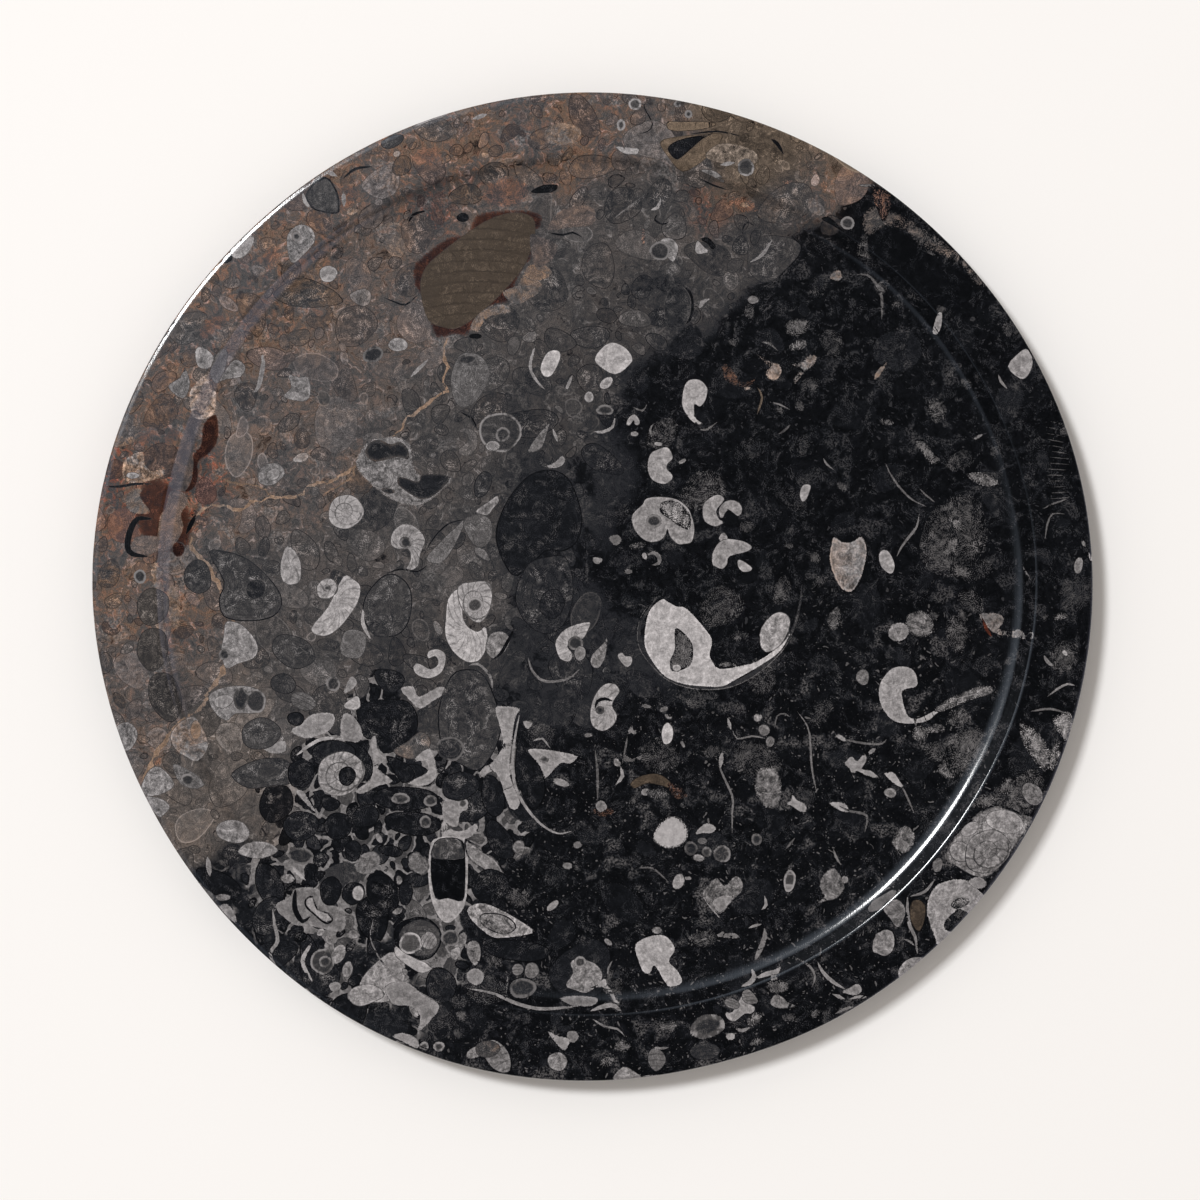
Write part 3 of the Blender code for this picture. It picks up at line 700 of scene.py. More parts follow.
def shells_above_the_large_one():
    """White shells on black mud between the large shell and the top."""
    return [
        area("shell", 0.66, "1,92 3,4 4,2 5,-2 3,-4 -1,-3 -6,-4 -7,4"),
        oval("shell", 0.6, 5.5, 81.6, 6.5, 4, 38), oval("ring", 0.4, 5, 70.8, 7, 4.6),
        thread(0.52, 1.4, "0,62 4,0 4,2 1,4"),
        area("shell", 0.63, "45,65 -3,0 -3,2 -3,5 0,5 1,4 2,2 4,0 3,-3 0,-3 -1,-3 -2,-2 -2,1 0,-4 1,-2"),
        area("shell", 0.56, "13.4,65 1.2,3 2.4,1.2 2,-2.6 -0.4,-1.8 -1.6,0.1 -0.6,1.5 -1.4,-1.8"),
        oval("shell", 0.5, 16.8, 61.2, 3.6, 2.2), oval("shell", 0.58, 26.3, 57.2, 4.4, 1.8, -8),
        thread(0.4, 1, "24.6,65.4 -1.6,-2.4 0.8,-3.2"), thread(0.35, 0.9, "21.8,73 -1.8,-2.5 -4,1.5"),
        area("shell", 0.58, "22,48 1,5 3,2 4,1 2,-3 0,-2 -2,-2 0,-2 2,-2 0,-2 -3,-2 -4,1 -2,2"),
        oval("shell", 0.46, 36, 50.2, 4, 1.8, 30),
        area("shell", 0.55, "16,25 0,4 4,4 1,2 3,1 5,0 5,-1 4,-3 2,-4 1,-5 -1,-5 -3,-1 -3,0 -3,3 -1,3 -1,-3 "
            "-3,-2 -4,0 -4,3"), area("cloud", 0.56, "28,34 6,0 5,-5 0,-6 -4,1 -4,3 -4,3", fade=2.5),
        oval("ring", 0.4, 24.6, 26.3, 6.2, 5.6),
        area("shell", 0.55, "50,37 3,-2 -3,-4 0,-2 1,-2 2,-1 -1,-1 -3,-1 -4,2 -1,4 1,4"),
        area("shell", 0.53, "50.6,31 2,2.8 3,1 3,-1 1.5,-2.4 -0.5,-2.4 -1.6,-0.8 -3,2.3 -1.6,-0.9 -1,-2 "
            "-1.4,0"), area("shell", 0.55, "48,9 0,4 2,4 3,2 4,0 4,-1 3,-2 -2,-2 -7,-2 -1,-3 -2,-2 -3,1"),
        area("shell", 0.58, "58.2,10.6 2,-0.2 4,-3 -1.2,-1.4 -2.6,-0.2 -2,1.8"),
        thread(0.4, 1.8, "22,12.6 2.5,1 2.1,-1.6 0,-2.6 -3,-0.8"),
        area("spar", 0.4, "6.5,19.5 3,1.5 2.3,-2 -1.8,-2.5 -2,0.5"), oval("cloud", 0.34, 18, 16.4, 7, 3, 10),
        oval("spar", 0.38, 14.4, 6, 4, 2),
        area("shell", 0.57, "83,36.4 0.5,3 1.5,1.7 2.6,-0.5 -0.6,-3 -1.4,-3 -1.6,-0.6"),
        area("shell", 0.5, "96,18 1,2 3,-2 4,0 4,2 2,-5 -1,-7 -2,-6 -3,-4 -4,1 -3,5 -2,7", brown=0.25,
            wall=0.62, wall_width=0.7, fade=0.3, mottle=1.5), oval("shell", 0.58, 118, 10, 10, 6, 112),
        thread(0.4, 0.8, "71,74 4,-1 4,-2"), thread(0.4, 0.9, "92.6,51.4 1.4,-2.4 2.8,-2.2"),
        thread(0.33, 1, "74.4,61 2.6,1.6 2.6,2.6"), thread(0.36, 0.9, "43,63 3,0 4,3"),
        thread(0.36, 0.9, "67.4,98 3.6,-0.6 3.4,-3"), thread(0.33, 1, "66,80 2,-4 -2,-7", olive=0.8),
        area("rust", 0.27, "52,90 4,-3 4,-5 5,1 -3,-3 -6,1 -3,2"),
        area("beige", 0.47, "66,93 6,-3 3,-1 1,-3 -2,-3 -3,0 -2,3 2,2"),
        area("beige", 0.43, "80,89 4,1 3,3 3,-1 -2,-4 -3,-2 -4,-5 0,3 3,3"),
        oval("cloud", 0.42, 82.4, 96.6, 8, 4, 20), oval("beige", 0.5, 62.2, 79.4, 3, 1.8),
    ]


def shells_below_the_large_one():
    """Faint outlines and white flecks on the black and brown mud under the large shell."""
    return [
        area("shell", 0.58, "10,-27.6 1.6,-3 2.4,-1.8 2,2 -0.4,2.4 -2.4,0.2 -1.4,1.4"),
        area("shell", 0.6, "9,-39 -4,0 -3,-3 -2,-4 -1,-5 1,-5 4,-2 4,2 2,4 -2,4 1,3 2,3", septa=13,
            wall=0.3), oval("ring", 0.3, 3, -49.6, 3.6, 3.6), thread(0.09, 1.4, "8,-46 -3,1 -3,-1 -1,-3"),
        area("pale", 0.46, "0,-27 -1,-4 3,-2 3,4 1,6 0,3 -2,-3"), oval("shell", 0.67, 30, -59, 9, 5, 84),
        oval("pale", 0.42, 28.6, -49.2, 4.4, 2.4, 20),
        area("pale", 0.44, "28.6,-51.4 1.4,-2 2.2,0.2 0.2,2.2 -1.4,-1.2 -1.4,1.8"),
        oval("shell", 0.42, 36.2, -63.2, 4, 1.6, -65), oval("spar", 0.4, 21.6, -48, 5, 1.6, -12),
        area("spar", 0.42, "13.6,-60 1,3 1.4,1.6 0.4,-2.2 2.2,0.2 -1.6,-2 -1.6,0.6"),
        thread(0.35, 0.9, "14,-60 -1,-6 -1,-5"), thread(0.5, 1.6, "11,-72 1,-4 -3,-4"),
        area("spar", 0.36, "12.6,-67.4 3.4,-1.6 4,1.6 -1.4,-2.4 -5.6,-0.4"),
        thread(0.34, 1.1, "1,-65 1,-10 0,-11"),
        area("olive", 0.26, "15,-79 4,3 7,1 5,-3 2,-4 -5,2 -6,1 -5,-2"),
        area("rust", 0.24, "30,-79 5,-1 3,-4 -5,-1"), area("rust", 0.22, "0,-90 5,2 4,-2.4 -5,-2"),
        oval("spar", 0.48, 21.4, -82.4, 4.4, 3), oval("cloud", 0.4, 26, -83, 9, 4, -8),
        area("spar", 0.46, "1.6,-86.6 2.4,0.8 2,-2.6 -2.6,-2.2 -2,1.6"),
        area("pale", 0.66, "27,-95 4,3 4,-1 3,-4 0,-4 -3,-3 -4,-1 -4,1 -3,3", wall_width=0.0, mottle=0.5,
            fade=0.8), area("spar", 0.55, "41,-99.5 1.6,2.5 3.4,2.2 3.6,-1.8 -1.6,-2.2 -4,-0.2"),
        oval("cloud", 0.24, 45, -44, 11, 4, 4), thread(0.52, 1.6, "54.2,-52.6 1.4,-5"),
        thread(0.38, 0.8, "56,-57 2,-4 6,1 6,-1"), oval("pale", 0.4, 68.8, -57.6, 5, 5),
        oval("pale", 0.4, 71.2, -62.2, 4, 4.8), thread(0.36, 0.7, "73,-57 1,5 3,1 3,-2"),
        thread(0.4, 0.9, "82,-50 3,-4 2,-5 1,-14 2,-10"), thread(0.4, 1, "53,-66 -2,-6 5,-12 0,-7 0,-8"),
        thread(0.5, 2, "52,-66.4 -0.8,-6.4"),
        area("pale", 0.43, "67,-73 5,1 3,-4 1,-6 -2,-6 -4,-1 -4,5 -1,6", mottle=1.6, fade=1.0,
            wall_width=0.0), thread(0.52, 0.5, "66,-82 4,-1 4,0"),
        area("spar", 0.54, "80,-83 2,-2.6 3,-1.4 1,-3.2 -3,0 -3,2.2 -2.4,0.8 2,1.6"),
        area("spar", 0.56, "94.8,-86.8 6.2,0 2,-3.6 -3.4,0.4"), oval("cloud", 0.36, 97, -13, 10, 5, 75),
        area("mud", 0.17, "-19,-43 9,3 4,-6 -2,-8 -8,-3 -7,7", fade=1.5, wall_width=0.0),
    ]


def shells_on_the_right():
    """Ghostly grey sections and threads in the black mud out to the right rim."""
    return [
        area("cloud", 0.42, "126,-12 3,2 4,0 3,-3 1,-4 -3,-3 -5,0 -3,3", fade=1.0),
        area("pale", 0.5, "118.6,-18.4 1.4,3 3.2,1 3,-1.2 0.8,-3.2 -2.2,-2.6 -3.4,-0.6 -2.2,1.4",
            wall_width=0.0), oval("cloud", 0.3, 146, -19, 15, 9, 100, fade=3.0),
        oval("cloud", 0.3, 152, -6, 8, 12, 40, fade=3.0),
        area("shell", 0.58, "130,-40 0,4 -2,3 -4,1 -4,-1 -3,-3 -2,-4 0,-5 2,-5 4,-4 6,-1 7,1 4,3 4,4 -9,-5 "
            "-4,-1 -3,2 -2,8 2,2", wall_width=0.0),
        area("cloud", 0.46, "137,-50 4,4 6,3 8,3 5,0 0,-3 -7,-2 -7,-3 -5,-2", fade=1.2),
        thread(0.5, 0.5, "141,-46 9,2 7,2"), oval("cloud", 0.46, 131.4, -58.8, 7, 6),
        oval("cloud", 0.4, 138, -57, 7, 4), oval("cloud", 0.44, 143, -73, 9, 8, 30, fade=2.0),
        oval("cloud", 0.3, 150, -66, 22, 16, 60, fade=5.0), oval("cloud", 0.28, 138, -66, 10, 8, fade=3.0),
        oval("cloud", 0.32, 147, -53, 10, 8, fade=3.0),
        area("cloud", 0.48, "171,-55 5,-1 5,-6 3,-7 -3,-5 -5,5 -4,7", fade=2.0),
        area("cloud", 0.55, "184,-53 6,3 3,-5 -3,-7 -4,4", fade=1.5),
        oval("cloud", 0.45, 185, -68, 12, 4, 75, fade=1.5),
        oval("cloud", 0.28, 172, -84, 24, 14, 60, fade=4.0),
        oval("pale", 0.42, 176, -83, 10, 8, -50, mottle=1.5), oval("cloud", 0.36, 157, -86, 9, 6, fade=2.0),
        oval("cloud", 0.34, 166, -80, 8, 6, 40, fade=2.0),
        area("pale", 0.42, "155,-11 8,0 2,-3 -2,-3 5,-1 3,1 3,-4 -8,1 -6,2", brown=0.2, wall_width=0.0),
        thread(0.2, 1.4, "156,-12 2,-5 2,-3", rust=1.0, brown=1.0),
        oval("shell", 0.6, 189, -26.6, 3, 2.2, -50), oval("cloud", 0.42, 187, -12, 6, 3, 10),
        thread(0.42, 1.6, "180.6,-27.6 1.4,-2.4 2.4,-2"), thread(0.45, 1, "182,-44 4,3 4,2 4,-1"),
        thread(0.38, 1, "175,-50 8,1 8,-2"),
        area("spar", 0.52, "101,-71 3,3 2,-2 3,3 1,-3 -2,-3 4,-1 3,-3 -5,1 -4,2 -1,-3 -2,4"),
        area("spar", 0.6, "117,-75 3.6,0.6 2.4,-3.2 1.8,-3 -3.4,1.2"),
        oval("spar", 0.52, 112, -66, 4, 1.8, 35), thread(0.36, 0.9, "124,-80 2,-4 3,-7"),
        thread(0.36, 1, "100,-61 4,-1 6,-1 6,0 2,2"), thread(0.36, 1.2, "99,-88 4,-2 7,-2 -1,-7"),
        oval("spar", 0.5, 99.6, -60.6, 5, 2, -30), thread(0.4, 1.1, "122,12 2,4 3,4 3,4 1,5"),
        thread(0.38, 0.9, "117,51 2,-5 4,-6 5,-5 6,-3"), thread(0.36, 0.8, "131,39.4 3,-3 3.6,-2.8"),
        area("cloud", 0.42, "129,58 4,0 4,-5 3,-2 -4,-2 -4,5", fade=1.0),
        area("cloud", 0.44, "150,45 6,1 5,-2 2,-3 -5,-1 -5,2", fade=1.4),
        oval("cloud", 0.38, 118, 66, 5.6, 2.8, -10), oval("cloud", 0.26, 145, 20, 34, 26, 60, fade=8.0),
        oval("cloud", 0.4, 146.4, 24.6, 7, 4, -40), oval("cloud", 0.34, 144, 16, 9, 6, 60),
        oval("cloud", 0.36, 153.6, 17, 6, 4, 40), oval("cloud", 0.32, 148, 6, 10, 5, -20),
        thread(0.42, 2, "113,83 2,3 3,4", brown=0.5),
        area("shell", 0.57, "166,88 5,6 3,1 2,-3 0,-4 -2,-4 -3,-1"),
        thread(0.44, 1.2, "162.4,84.6 1,-2.6 2.6,-3"), oval("spar", 0.42, 154.6, 60, 4.4, 1.4, 25),
        oval("pale", 0.46, 194.4, 8.4, 7, 4, 80), thread(0.6, 1.6, "198,14 1.8,-3 3.2,-1"),
        thread(0.36, 0.8, "181,19 1,6 2,4 5,0"), thread(0.36, 0.8, "180,31 4,2 6,2"),
        thread(0.38, 0.8, "172,9 2,-4 2,-3"), thread(0.34, 1.2, "105,125 5,0 4,-4 2,-5 0,-9"),
        area("shell", 0.56, "136.4,103.4 1.6,5.6 1.8,0.4 -0.2,-5.4 -1.6,-3 -1.6,0.6", wall_width=0.0),
        oval("ring", 0.2, 152, 107, 2.4, 2), oval("ring", 0.12, 155, 66.4, 2.6, 2),
        oval("cloud", 0.34, 82, 104, 10, 7, 20),
    ] + [
        thread(0.28, 0.45, f"{182 + 1.1 * math.sin(row)},{35 + 2.4 * row} "
                           f"{8 + 1.3 * math.cos(row) - 1.1 * math.sin(row)},{0.6 - 0.2 * row}")
        for row in range(14)
    ]


def shells_on_the_lower_right_rim():
    """The bright shells that the rim cuts through on the lower right."""
    return [
        area("pale", 0.5, "141,-105 4,5 11,11 9,1 7,-3 4,-3 -10,-15 -4,-5 -5,-3 -6,1 -9,6", mottle=1.6,
            wall=0.08, wall_width=1.0), oval("shell", 0.55, 165, -94, 16, 9, -12, mottle=1.3),
        oval("pale", 0.53, 147, -106, 8, 9, 30, mottle=1.3),
        oval("coiled", 0.5, 158, -106, 19, 17, 35, septa=9, mottle=1.3),
        oval("shell", 0.55, 151, -97, 8, 5, 40),
        area("pale", 0.56, "134,-132 0,6 3,6 4,2 5,1 5,-1 4,-4 3,-3 -6,-6 -5,2 -3,-2 -3,-3 0,-3 3,-2 -5,-6 "
            "-3,7", mottle=1.2, wall_width=0.0), oval("cloud", 0.42, 147, -126.6, 8, 4, 20),
        oval("pale", 0.4, 138, -111.4, 6.4, 4.2, 80),
        area("pale", 0.4, "110,-130 2,4 5,3 4,2 1,-3 -4,-3 -4,-3", mottle=0.7),
        area("pale", 0.43, "116,-129 2,3 4,1 3,-3 0,-4 -2,-4 -2,0 -2,3", wall=0.12),
        thread(0.4, 0.8, "112,-126 4,4 5,2"),
        area("mud", 0.23, "127,-128 2,3 4,-2 0,-6 -2,-5 -2,1 -2,4", olive=0.8, brown=0.3, mottle=1.2),
        thread(0.44, 1.5, "126,-124 0,-6 1,-6 2,-4 1,-7"), thread(0.42, 1.2, "127,-124 6,2 4,5"),
        thread(0.42, 1, "124.4,-141 2.6,-1 2.4,-2.4"),
        area("pale", 0.5, "112,-146 0,4 1,2 0,1 2,1 2,1 3,-1 1,-4 -1,-4 -3,-2 -3,1", wall=0.1),
        area("pale", 0.44, "120,-103 2,4 3,3 4,-2 0,-4 -1,-3 -4,-2", mottle=1.5, wall_width=0.0, fade=0.8),
        oval("spar", 0.5, 101, -117.6, 3.4, 3, 30),
        area("pale", 0.52, "122,-155 1,3 3,3 5,1 3,-2 -6,-7 -4,-2", wall=0.1),
        area("spar", 0.5, "99.6,-162 3.4,1.6 3,1.6 1.8,-2.6 -2.2,-2.2 -4.6,0.8"),
        thread(0.5, 1.3, "103,-165 4,1 4,-1"), thread(0.46, 1.2, "97,-171 4,2 4,1"),
        area("spar", 0.5, "150,-118 5,2 3,-3.4 -4,-1.6"),
    ]


def shells_at_the_bottom():
    """Shells between the middle of the floor and the bottom rim."""
    return [
        oval("ring", 0.36, 39.4, -105, 6, 5.4, 80), oval("ring", 0.44, 45.8, -106.4, 4.4, 4.2),
        oval("pale", 0.46, 42.6, -108.8, 5, 3.2, -10), oval("pale", 0.36, 44, -102, 4.4, 3),
        oval("ring", 0.44, 52, -107.2, 7, 7.2, mottle=1.4, septa=7),
        oval("ring", 0.36, 65.8, -101.4, 4.6, 5), oval("ring", 0.5, 79, -118, 9, 5, 85),
        thread(0.36, 1, "77.4,-105.4 2,2.4 1.8,2.2"),
        area("pale", 0.42, "44,-124 3,5 3,2 3,-3 4,4 3,-2 0,-4 -4,-4 -3,-4 -3,-1", mottle=1.7,
            wall_width=0.0), area("spar", 0.5, "48,-126.4 4,2.4 4.4,-0.4 -3.4,-5 -2.6,-1.2"),
        thread(0.5, 0.9, "44,-124 3,-4 4,-5"),
        area("pale", 0.4, "90,-127 3,3 -2,4 2,5 4,2 3,-4 1,-4 -3,-4 -4,-1", mottle=1.8, wall_width=0.0),
        thread(0.4, 1.1, "96.6,-105 1,-3.4 2,-3.2"), thread(0.5, 1.4, "67.6,-130 2,2.4 -0.6,3.6"),
        thread(0.5, 1.2, "62.6,-137 2.4,1 3,0.6"), oval("spar", 0.46, 38.4, -117, 3.6, 1.6),
        thread(0.34, 0.9, "18,-113 6,0 6,-5"), area("spar", 0.42, "49,-140 2,1 1,2 1,-2 4,0 2,-2 -5,0"),
        thread(0.4, 0.9, "42.6,-142 4,1"),
        area("shell", 0.63, "17,-145 2,3 5,2 5,0 3,-3 1,-3 -2,-3 0,-2 3,-3 2,-4 -2,-2 -4,0 -5,8 -2,-3 -3,1",
            wall_width=0.0), thread(0.4, 0.9, "8,-150 -1.6,-3 -0.4,-3"), oval("ring", 0.16, 9.4, -156, 3, 3),
        thread(0.5, 1.5, "-1,-161 5,1 3,-2 2,-4 2,-1"), area("spar", 0.55, "1.6,-160 3.4,3 0.6,-3.4"),
        thread(0.5, 1.9, "-1,-170 6,2 4,0 3,-3"), thread(0.44, 1, "0,-173 5,-3 5,-1 3,-3"),
        oval("ring", 0.4, 46, -176, 14, 10, 17, wall=0.56, wall_width=2.2, fade=0.3),
        area("shell", 0.55, "53,-170 1,-3 3,-1 4,3 3,0 1,3 -4,2 -1,3 -4,-7"),
        oval("striped", 0.4, 55.8, -166.8, 6.4, 4.4, -20),
        area("striped", 0.42, "60,-162 3,0.8 3.4,-4.8 -3.4,-1.2 -3,1.8"),
        oval("cloud", 0.45, 65, -173, 7, 5, 30), thread(0.45, 1.6, "57,-177 3,-0.6 3,1.2"),
        oval("spar", 0.55, 55.2, -180, 4, 3), area("pale", 0.43, "71,-166 2,3 3,-1 2,-2 4,-2 -6,-1 -4,1"),
        thread(0.5, 1.6, "96,-163 5,-2"), thread(0.52, 2, "59.6,-160 3.4,1.4 1.8,2.6 -1.2,3"),
        thread(0.52, 2, "65,-157 5,2 4,1 1,3"), oval("spar", 0.5, 72.6, -156.8, 3, 3.6),
        oval("cloud", 0.38, 74, -160, 9, 6), thread(0.42, 2.2, "65,-150 2,4 2,5 0,4"),
        thread(0.4, 1.1, "80,-148 4,-2 3,-2 2,-4 -1,-4"), thread(0.48, 1.6, "90,-150 2,-4 4,-4 5,-3"),
        area("striped", 0.38, "22,-188 2,3.4 4,-1.4 1.4,-4 -3.4,-4 -3,2"),
        thread(0.45, 1.2, "23.6,-184 3.4,-0.8 3.4,0.4"), area("pale", 0.5, "8,-198 4,6 5,-2 4,-4"),
        thread(0.5, 1.2, "20,-196 5,0 5,0"), oval("striped", 0.22, 45, -186, 12, 7, 5),
        oval("cloud", 0.4, 6, -190, 6, 4), oval("cloud", 0.36, 66, -182, 7, 3, 20),
        oval("cloud", 0.38, 89, -171, 6, 3, 25), oval("cloud", 0.34, 30, -176, 8, 5),
        oval("cloud", 0.34, 12, -184, 7, 5),
    ]


def named_shells():
    """All that stands out in the stone, from the bottom layer up."""
    regions = (chert_and_veins, ironstone, shells_at_the_top, goniatites_in_the_grey, mosaic_shells,
               shells_above_the_large_one, shells_below_the_large_one, large_open_shell,
               shells_on_the_right, shells_on_the_lower_right_rim, shells_at_the_bottom)
    return [patch for region in regions for patch in region()]


def covered_places(patches, reach=224):
    """A grid of whole millimetres, true where an area of the drawing covers the place."""
    ruler = np.arange(-reach, reach + 1)
    covered = np.zeros((len(ruler), len(ruler)), dtype=bool)
    for patch in patches:
        low = np.floor(patch.outline.min(axis=0)).astype(int) + reach
        high = np.ceil(patch.outline.max(axis=0)).astype(int) + reach + 1
        x, y = np.meshgrid(ruler[low[0]:high[0]], ruler[low[1]:high[1]], indexing="ij")
        inside = inside_outline(patch.outline, np.stack([x.ravel(), y.ravel()], axis=1).astype(float))
        covered[low[0]:high[0], low[1]:high[1]] |= inside.reshape(x.shape)
    return covered, reach


class FilledGround:
    """Keeps account of where the random shell sections lie."""

    def __init__(self, named):
        self.places = []
        self.sizes = []
        self.covered, self.reach = covered_places(named)

    def room(self, x, y, size, spread):
        """True where an oval of this size lies clear of the others, with all sizes times spread."""
        if self.covered[int(round(x)) + self.reach, int(round(y)) + self.reach]:
            return False
        if not self.places:
            return True
        away = np.hypot(*(np.array(self.places) - (x, y)).T)
        return bool((away > (np.array(self.sizes) + size) * spread).all())

    def take(self, x, y, size):
        """Note that an oval of this size now lies here."""
        self.places.append((x, y))
        self.sizes.append(size)


def filler_look(ground, size):
    """The kind, tone and changes of one random shell section, from the ground that it lies in."""
    tone, brown, rust, olive, black, spar, _ = ground
    chance = random.random()
    warm = {"brown": min(1.0, brown * random.uniform(0.4, 1.1)), "rust": rust * random.uniform(0.0, 0.9),
            "olive": olive}
    nested = random.choice((0.0, 0.0, 0.25, 0.4)) * size
    if spar > 0.4:
        if chance < 0.74:
            return "black", random.uniform(0.08, 0.15), {"nested": nested, **warm}
        if chance < 0.86:
            return "pale", random.uniform(0.42, 0.56), warm
        return "mud", random.uniform(0.2, 0.32), {"nested": nested, **warm}
    if black > 0.5:
        if chance < 0.55:
            return "mud", random.uniform(0.09, 0.14), {"wall": random.uniform(0.13, 0.24), "fade": 0.5,
                                                        "wall_width": 0.2, "speckle": 0.4, **warm}
        if chance < 0.9 or size > 3.5:
            return "cloud", random.uniform(0.17, 0.30), {"fade": 0.5 * size, **warm}
        return "pale", random.uniform(0.4, 0.58), warm
    if chance < 0.70:
        return "mud", tone * random.uniform(0.76, 1.0), {"wall": tone * random.uniform(0.35, 0.6),
                                                         "nested": nested, **warm}
    if chance < 0.90:
        return "pale", tone * random.uniform(1.0, 1.2), {"wall": tone * random.uniform(0.4, 0.7),
                                                         "nested": nested, **warm}
    if chance < 0.96 or size > 3.0:
        return "ring", tone * random.uniform(1.1, 1.35), {"fill_share": 0.8, "wall_width": 0.5, **warm}
    return "spiral", tone * random.uniform(1.35, 1.7), {"septa": 7.0, **warm}


HORN_SHARE = 0.08


def filler(x, y, size, ground):
    """One random shell section: an oval, a bean, or now and then a horn."""
    kind, tone, changes = filler_look(ground, size)
    turn = random.uniform(0.0, 360.0)
    if random.random() < HORN_SHARE and kind != "cloud":
        return horn(kind, tone, x, y, 0.75 * size, turn, random.uniform(170.0, 300.0), 0.8 * size, **changes)
    long = 2.0 * size * random.uniform(1.0, 1.3)
    wide = 2.0 * size * random.uniform(0.6, 0.95)
    return oval(kind, tone, x, y, long, wide, turn, egg=random.uniform(-0.3, 0.3),
                bend=random.choice((0.0, 0.0, 0.1, 0.2)), chord=1.1 + 0.1 * size, **changes)


# Half sizes of the random shell sections, from large to small: low, high, tries
FILLER_SIZES = ((6.0, 9.5, 500), (4.0, 6.0, 1000), (2.5, 4.0, 2400), (1.5, 2.5, 4200))
# For the top and the underside: the seed of the random shells, the radius that they are packed
# over, the share of the tries that is made, and the spacing of the loose mesh points between them
TOP_SEED, UNDER_SEED = 7, 11
TOP_REACH, UNDER_REACH = 212.0, 192.0
TOP_SHARE, UNDER_SHARE = 1.0, 0.3
TOP_SPACING, UNDER_SPACING = 5.0, 8.0


def filler_shells(reach, named, share):
    """Pack random shell sections over a disc, between the named ones, in a share of the tries."""
    taken = FilledGround(named)
    shells = []
    for low, high, tries in FILLER_SIZES:
        for _ in range(int(tries * share)):
            radius = reach * math.sqrt(random.random())
            angle = random.uniform(0.0, TAU)
            x, y = radius * math.cos(angle), radius * math.sin(angle)
            ground = ground_at(np.array([[x, y]]))[0]
            size = random.uniform(low, high)
            black, spar = ground[4:6]
            # Shells lie further apart in the black mud than in the grey or in spar
            spread = 0.85 + 0.9 * black * (spar < 0.3)
            if not taken.room(x, y, size, spread):
                continue
            taken.take(x, y, size)
            shells.append(filler(x, y, size, ground))
    return shells


def drawing():
    """Everything that is drawn on the top of the stone, from the bottom layer up."""
    random.seed(TOP_SEED)
    named = named_shells()
    return filler_shells(TOP_REACH, named, TOP_SHARE) + named


def underside_drawing():
    """Random shell sections on the underside."""
    random.seed(UNDER_SEED)
    return filler_shells(UNDER_REACH, [], UNDER_SHARE)


def inside_outline(outline, places):
    """True for each place that lies inside a closed outline."""
    x, y = places[:, 0, None], places[:, 1, None]
    start, end = outline, np.roll(outline, -1, axis=0)
    straddles = (start[:, 1] > y) != (end[:, 1] > y)
    rise = end[:, 1] - start[:, 1]
    slope = (end[:, 0] - start[:, 0]) / np.where(rise == 0.0, 1.0, rise)
    return (straddles & (x < start[:, 0] + (y - start[:, 1]) * slope)).sum(axis=1) % 2 == 1


# Points of the drawing that lie closer than this are made one
SNAP = 0.02


def triangulated(patches, boundary, rings, loose):
    """Cut the drawing into triangles that keep to every outline, and find each one's area."""
    points = [loose]
    edges = []
    count = len(loose)
    for ring in [boundary, *rings, *(patch.outline for patch in patches)]:
        index = np.arange(len(ring)) + count
        edges += list(zip(index.tolist(), np.roll(index, -1).tolist()))
        points.append(ring)
        count += len(ring)
    points += [patch.inside() for patch in patches]
    flat = np.concatenate(points)
    cut = delaunay_2d_cdt([Vector(place) for place in flat.tolist()], edges, [], 0, SNAP)
    places = np.array([tuple(place) for place in cut[0]])
    triangles = np.array(cut[2])
    middles = places[triangles].mean(axis=1)
    triangles = triangles[inside_outline(boundary, middles)]
    middles = places[triangles].mean(axis=1)

    owner = np.full(len(triangles), -1)
    for index, patch in enumerate(patches):
        low, high = patch.outline.min(axis=0), patch.outline.max(axis=0)
        near = np.nonzero(((middles >= low) & (middles <= high)).all(axis=1))[0]
        owner[near[inside_outline(patch.outline, middles[near])]] = index
    first = len(loose)
    rim_index = {place: new for new, firsts in enumerate(cut[3]) for place in firsts
                 if first <= place < first + len(boundary)}
    return places, triangles, owner, [rim_index[first + place] for place in range(len(boundary))]


# What each corner carries for the materials, four numbers at a time. Place is u, v, the distance
# to the outline and the part along the spine
LOOK_VALUES = {
    "patch": ("tone", "brown", "rust", "olive"),
    "form": ("wall", "wall_width", "fade", "speckle"),
    "grain": ("mottle", "septa", "coil", "nested"),
}


def corner_values(patches, places, triangles, owner):
    """The values that each corner of each triangle carries for the materials."""
    corners = places[triangles].reshape(-1, 2)
    owners = np.repeat(owner, 3)
    values = {name: np.zeros((len(corners), 4)) for name in ("place", *LOOK_VALUES)}
    values["place"][:, 3] = -1.0
    values["form"][:, 2] = 1.0
    order = np.argsort(owners, kind="stable")
    starts = np.searchsorted(owners[order], np.arange(len(patches) + 1))
    for index, patch in enumerate(patches):
        own = order[starts[index]:starts[index + 1]]
        if not len(own):
            continue
        flat = corners[own]
        values["place"][own] = np.column_stack([patch.local(flat), patch.edge(flat), patch.along(flat)])
        for name, parts in LOOK_VALUES.items():
            values[name][own] = [patch.look[part] for part in parts]
    return values


def sprinkled(reach, spacing):
    """A loose triangular grid of points over a disc, to carry the slow changes of the ground."""
    places = []
    for row in range(int(-reach / spacing), int(reach / spacing) + 1):
        for column in range(int(-reach / spacing) - 1, int(reach / spacing) + 1):
            x = (column + 0.5 * (row % 2)) * spacing
            y = row * spacing * 0.87
            if math.hypot(x, y) < reach:
                places.append((x, y))
    return np.array(places)


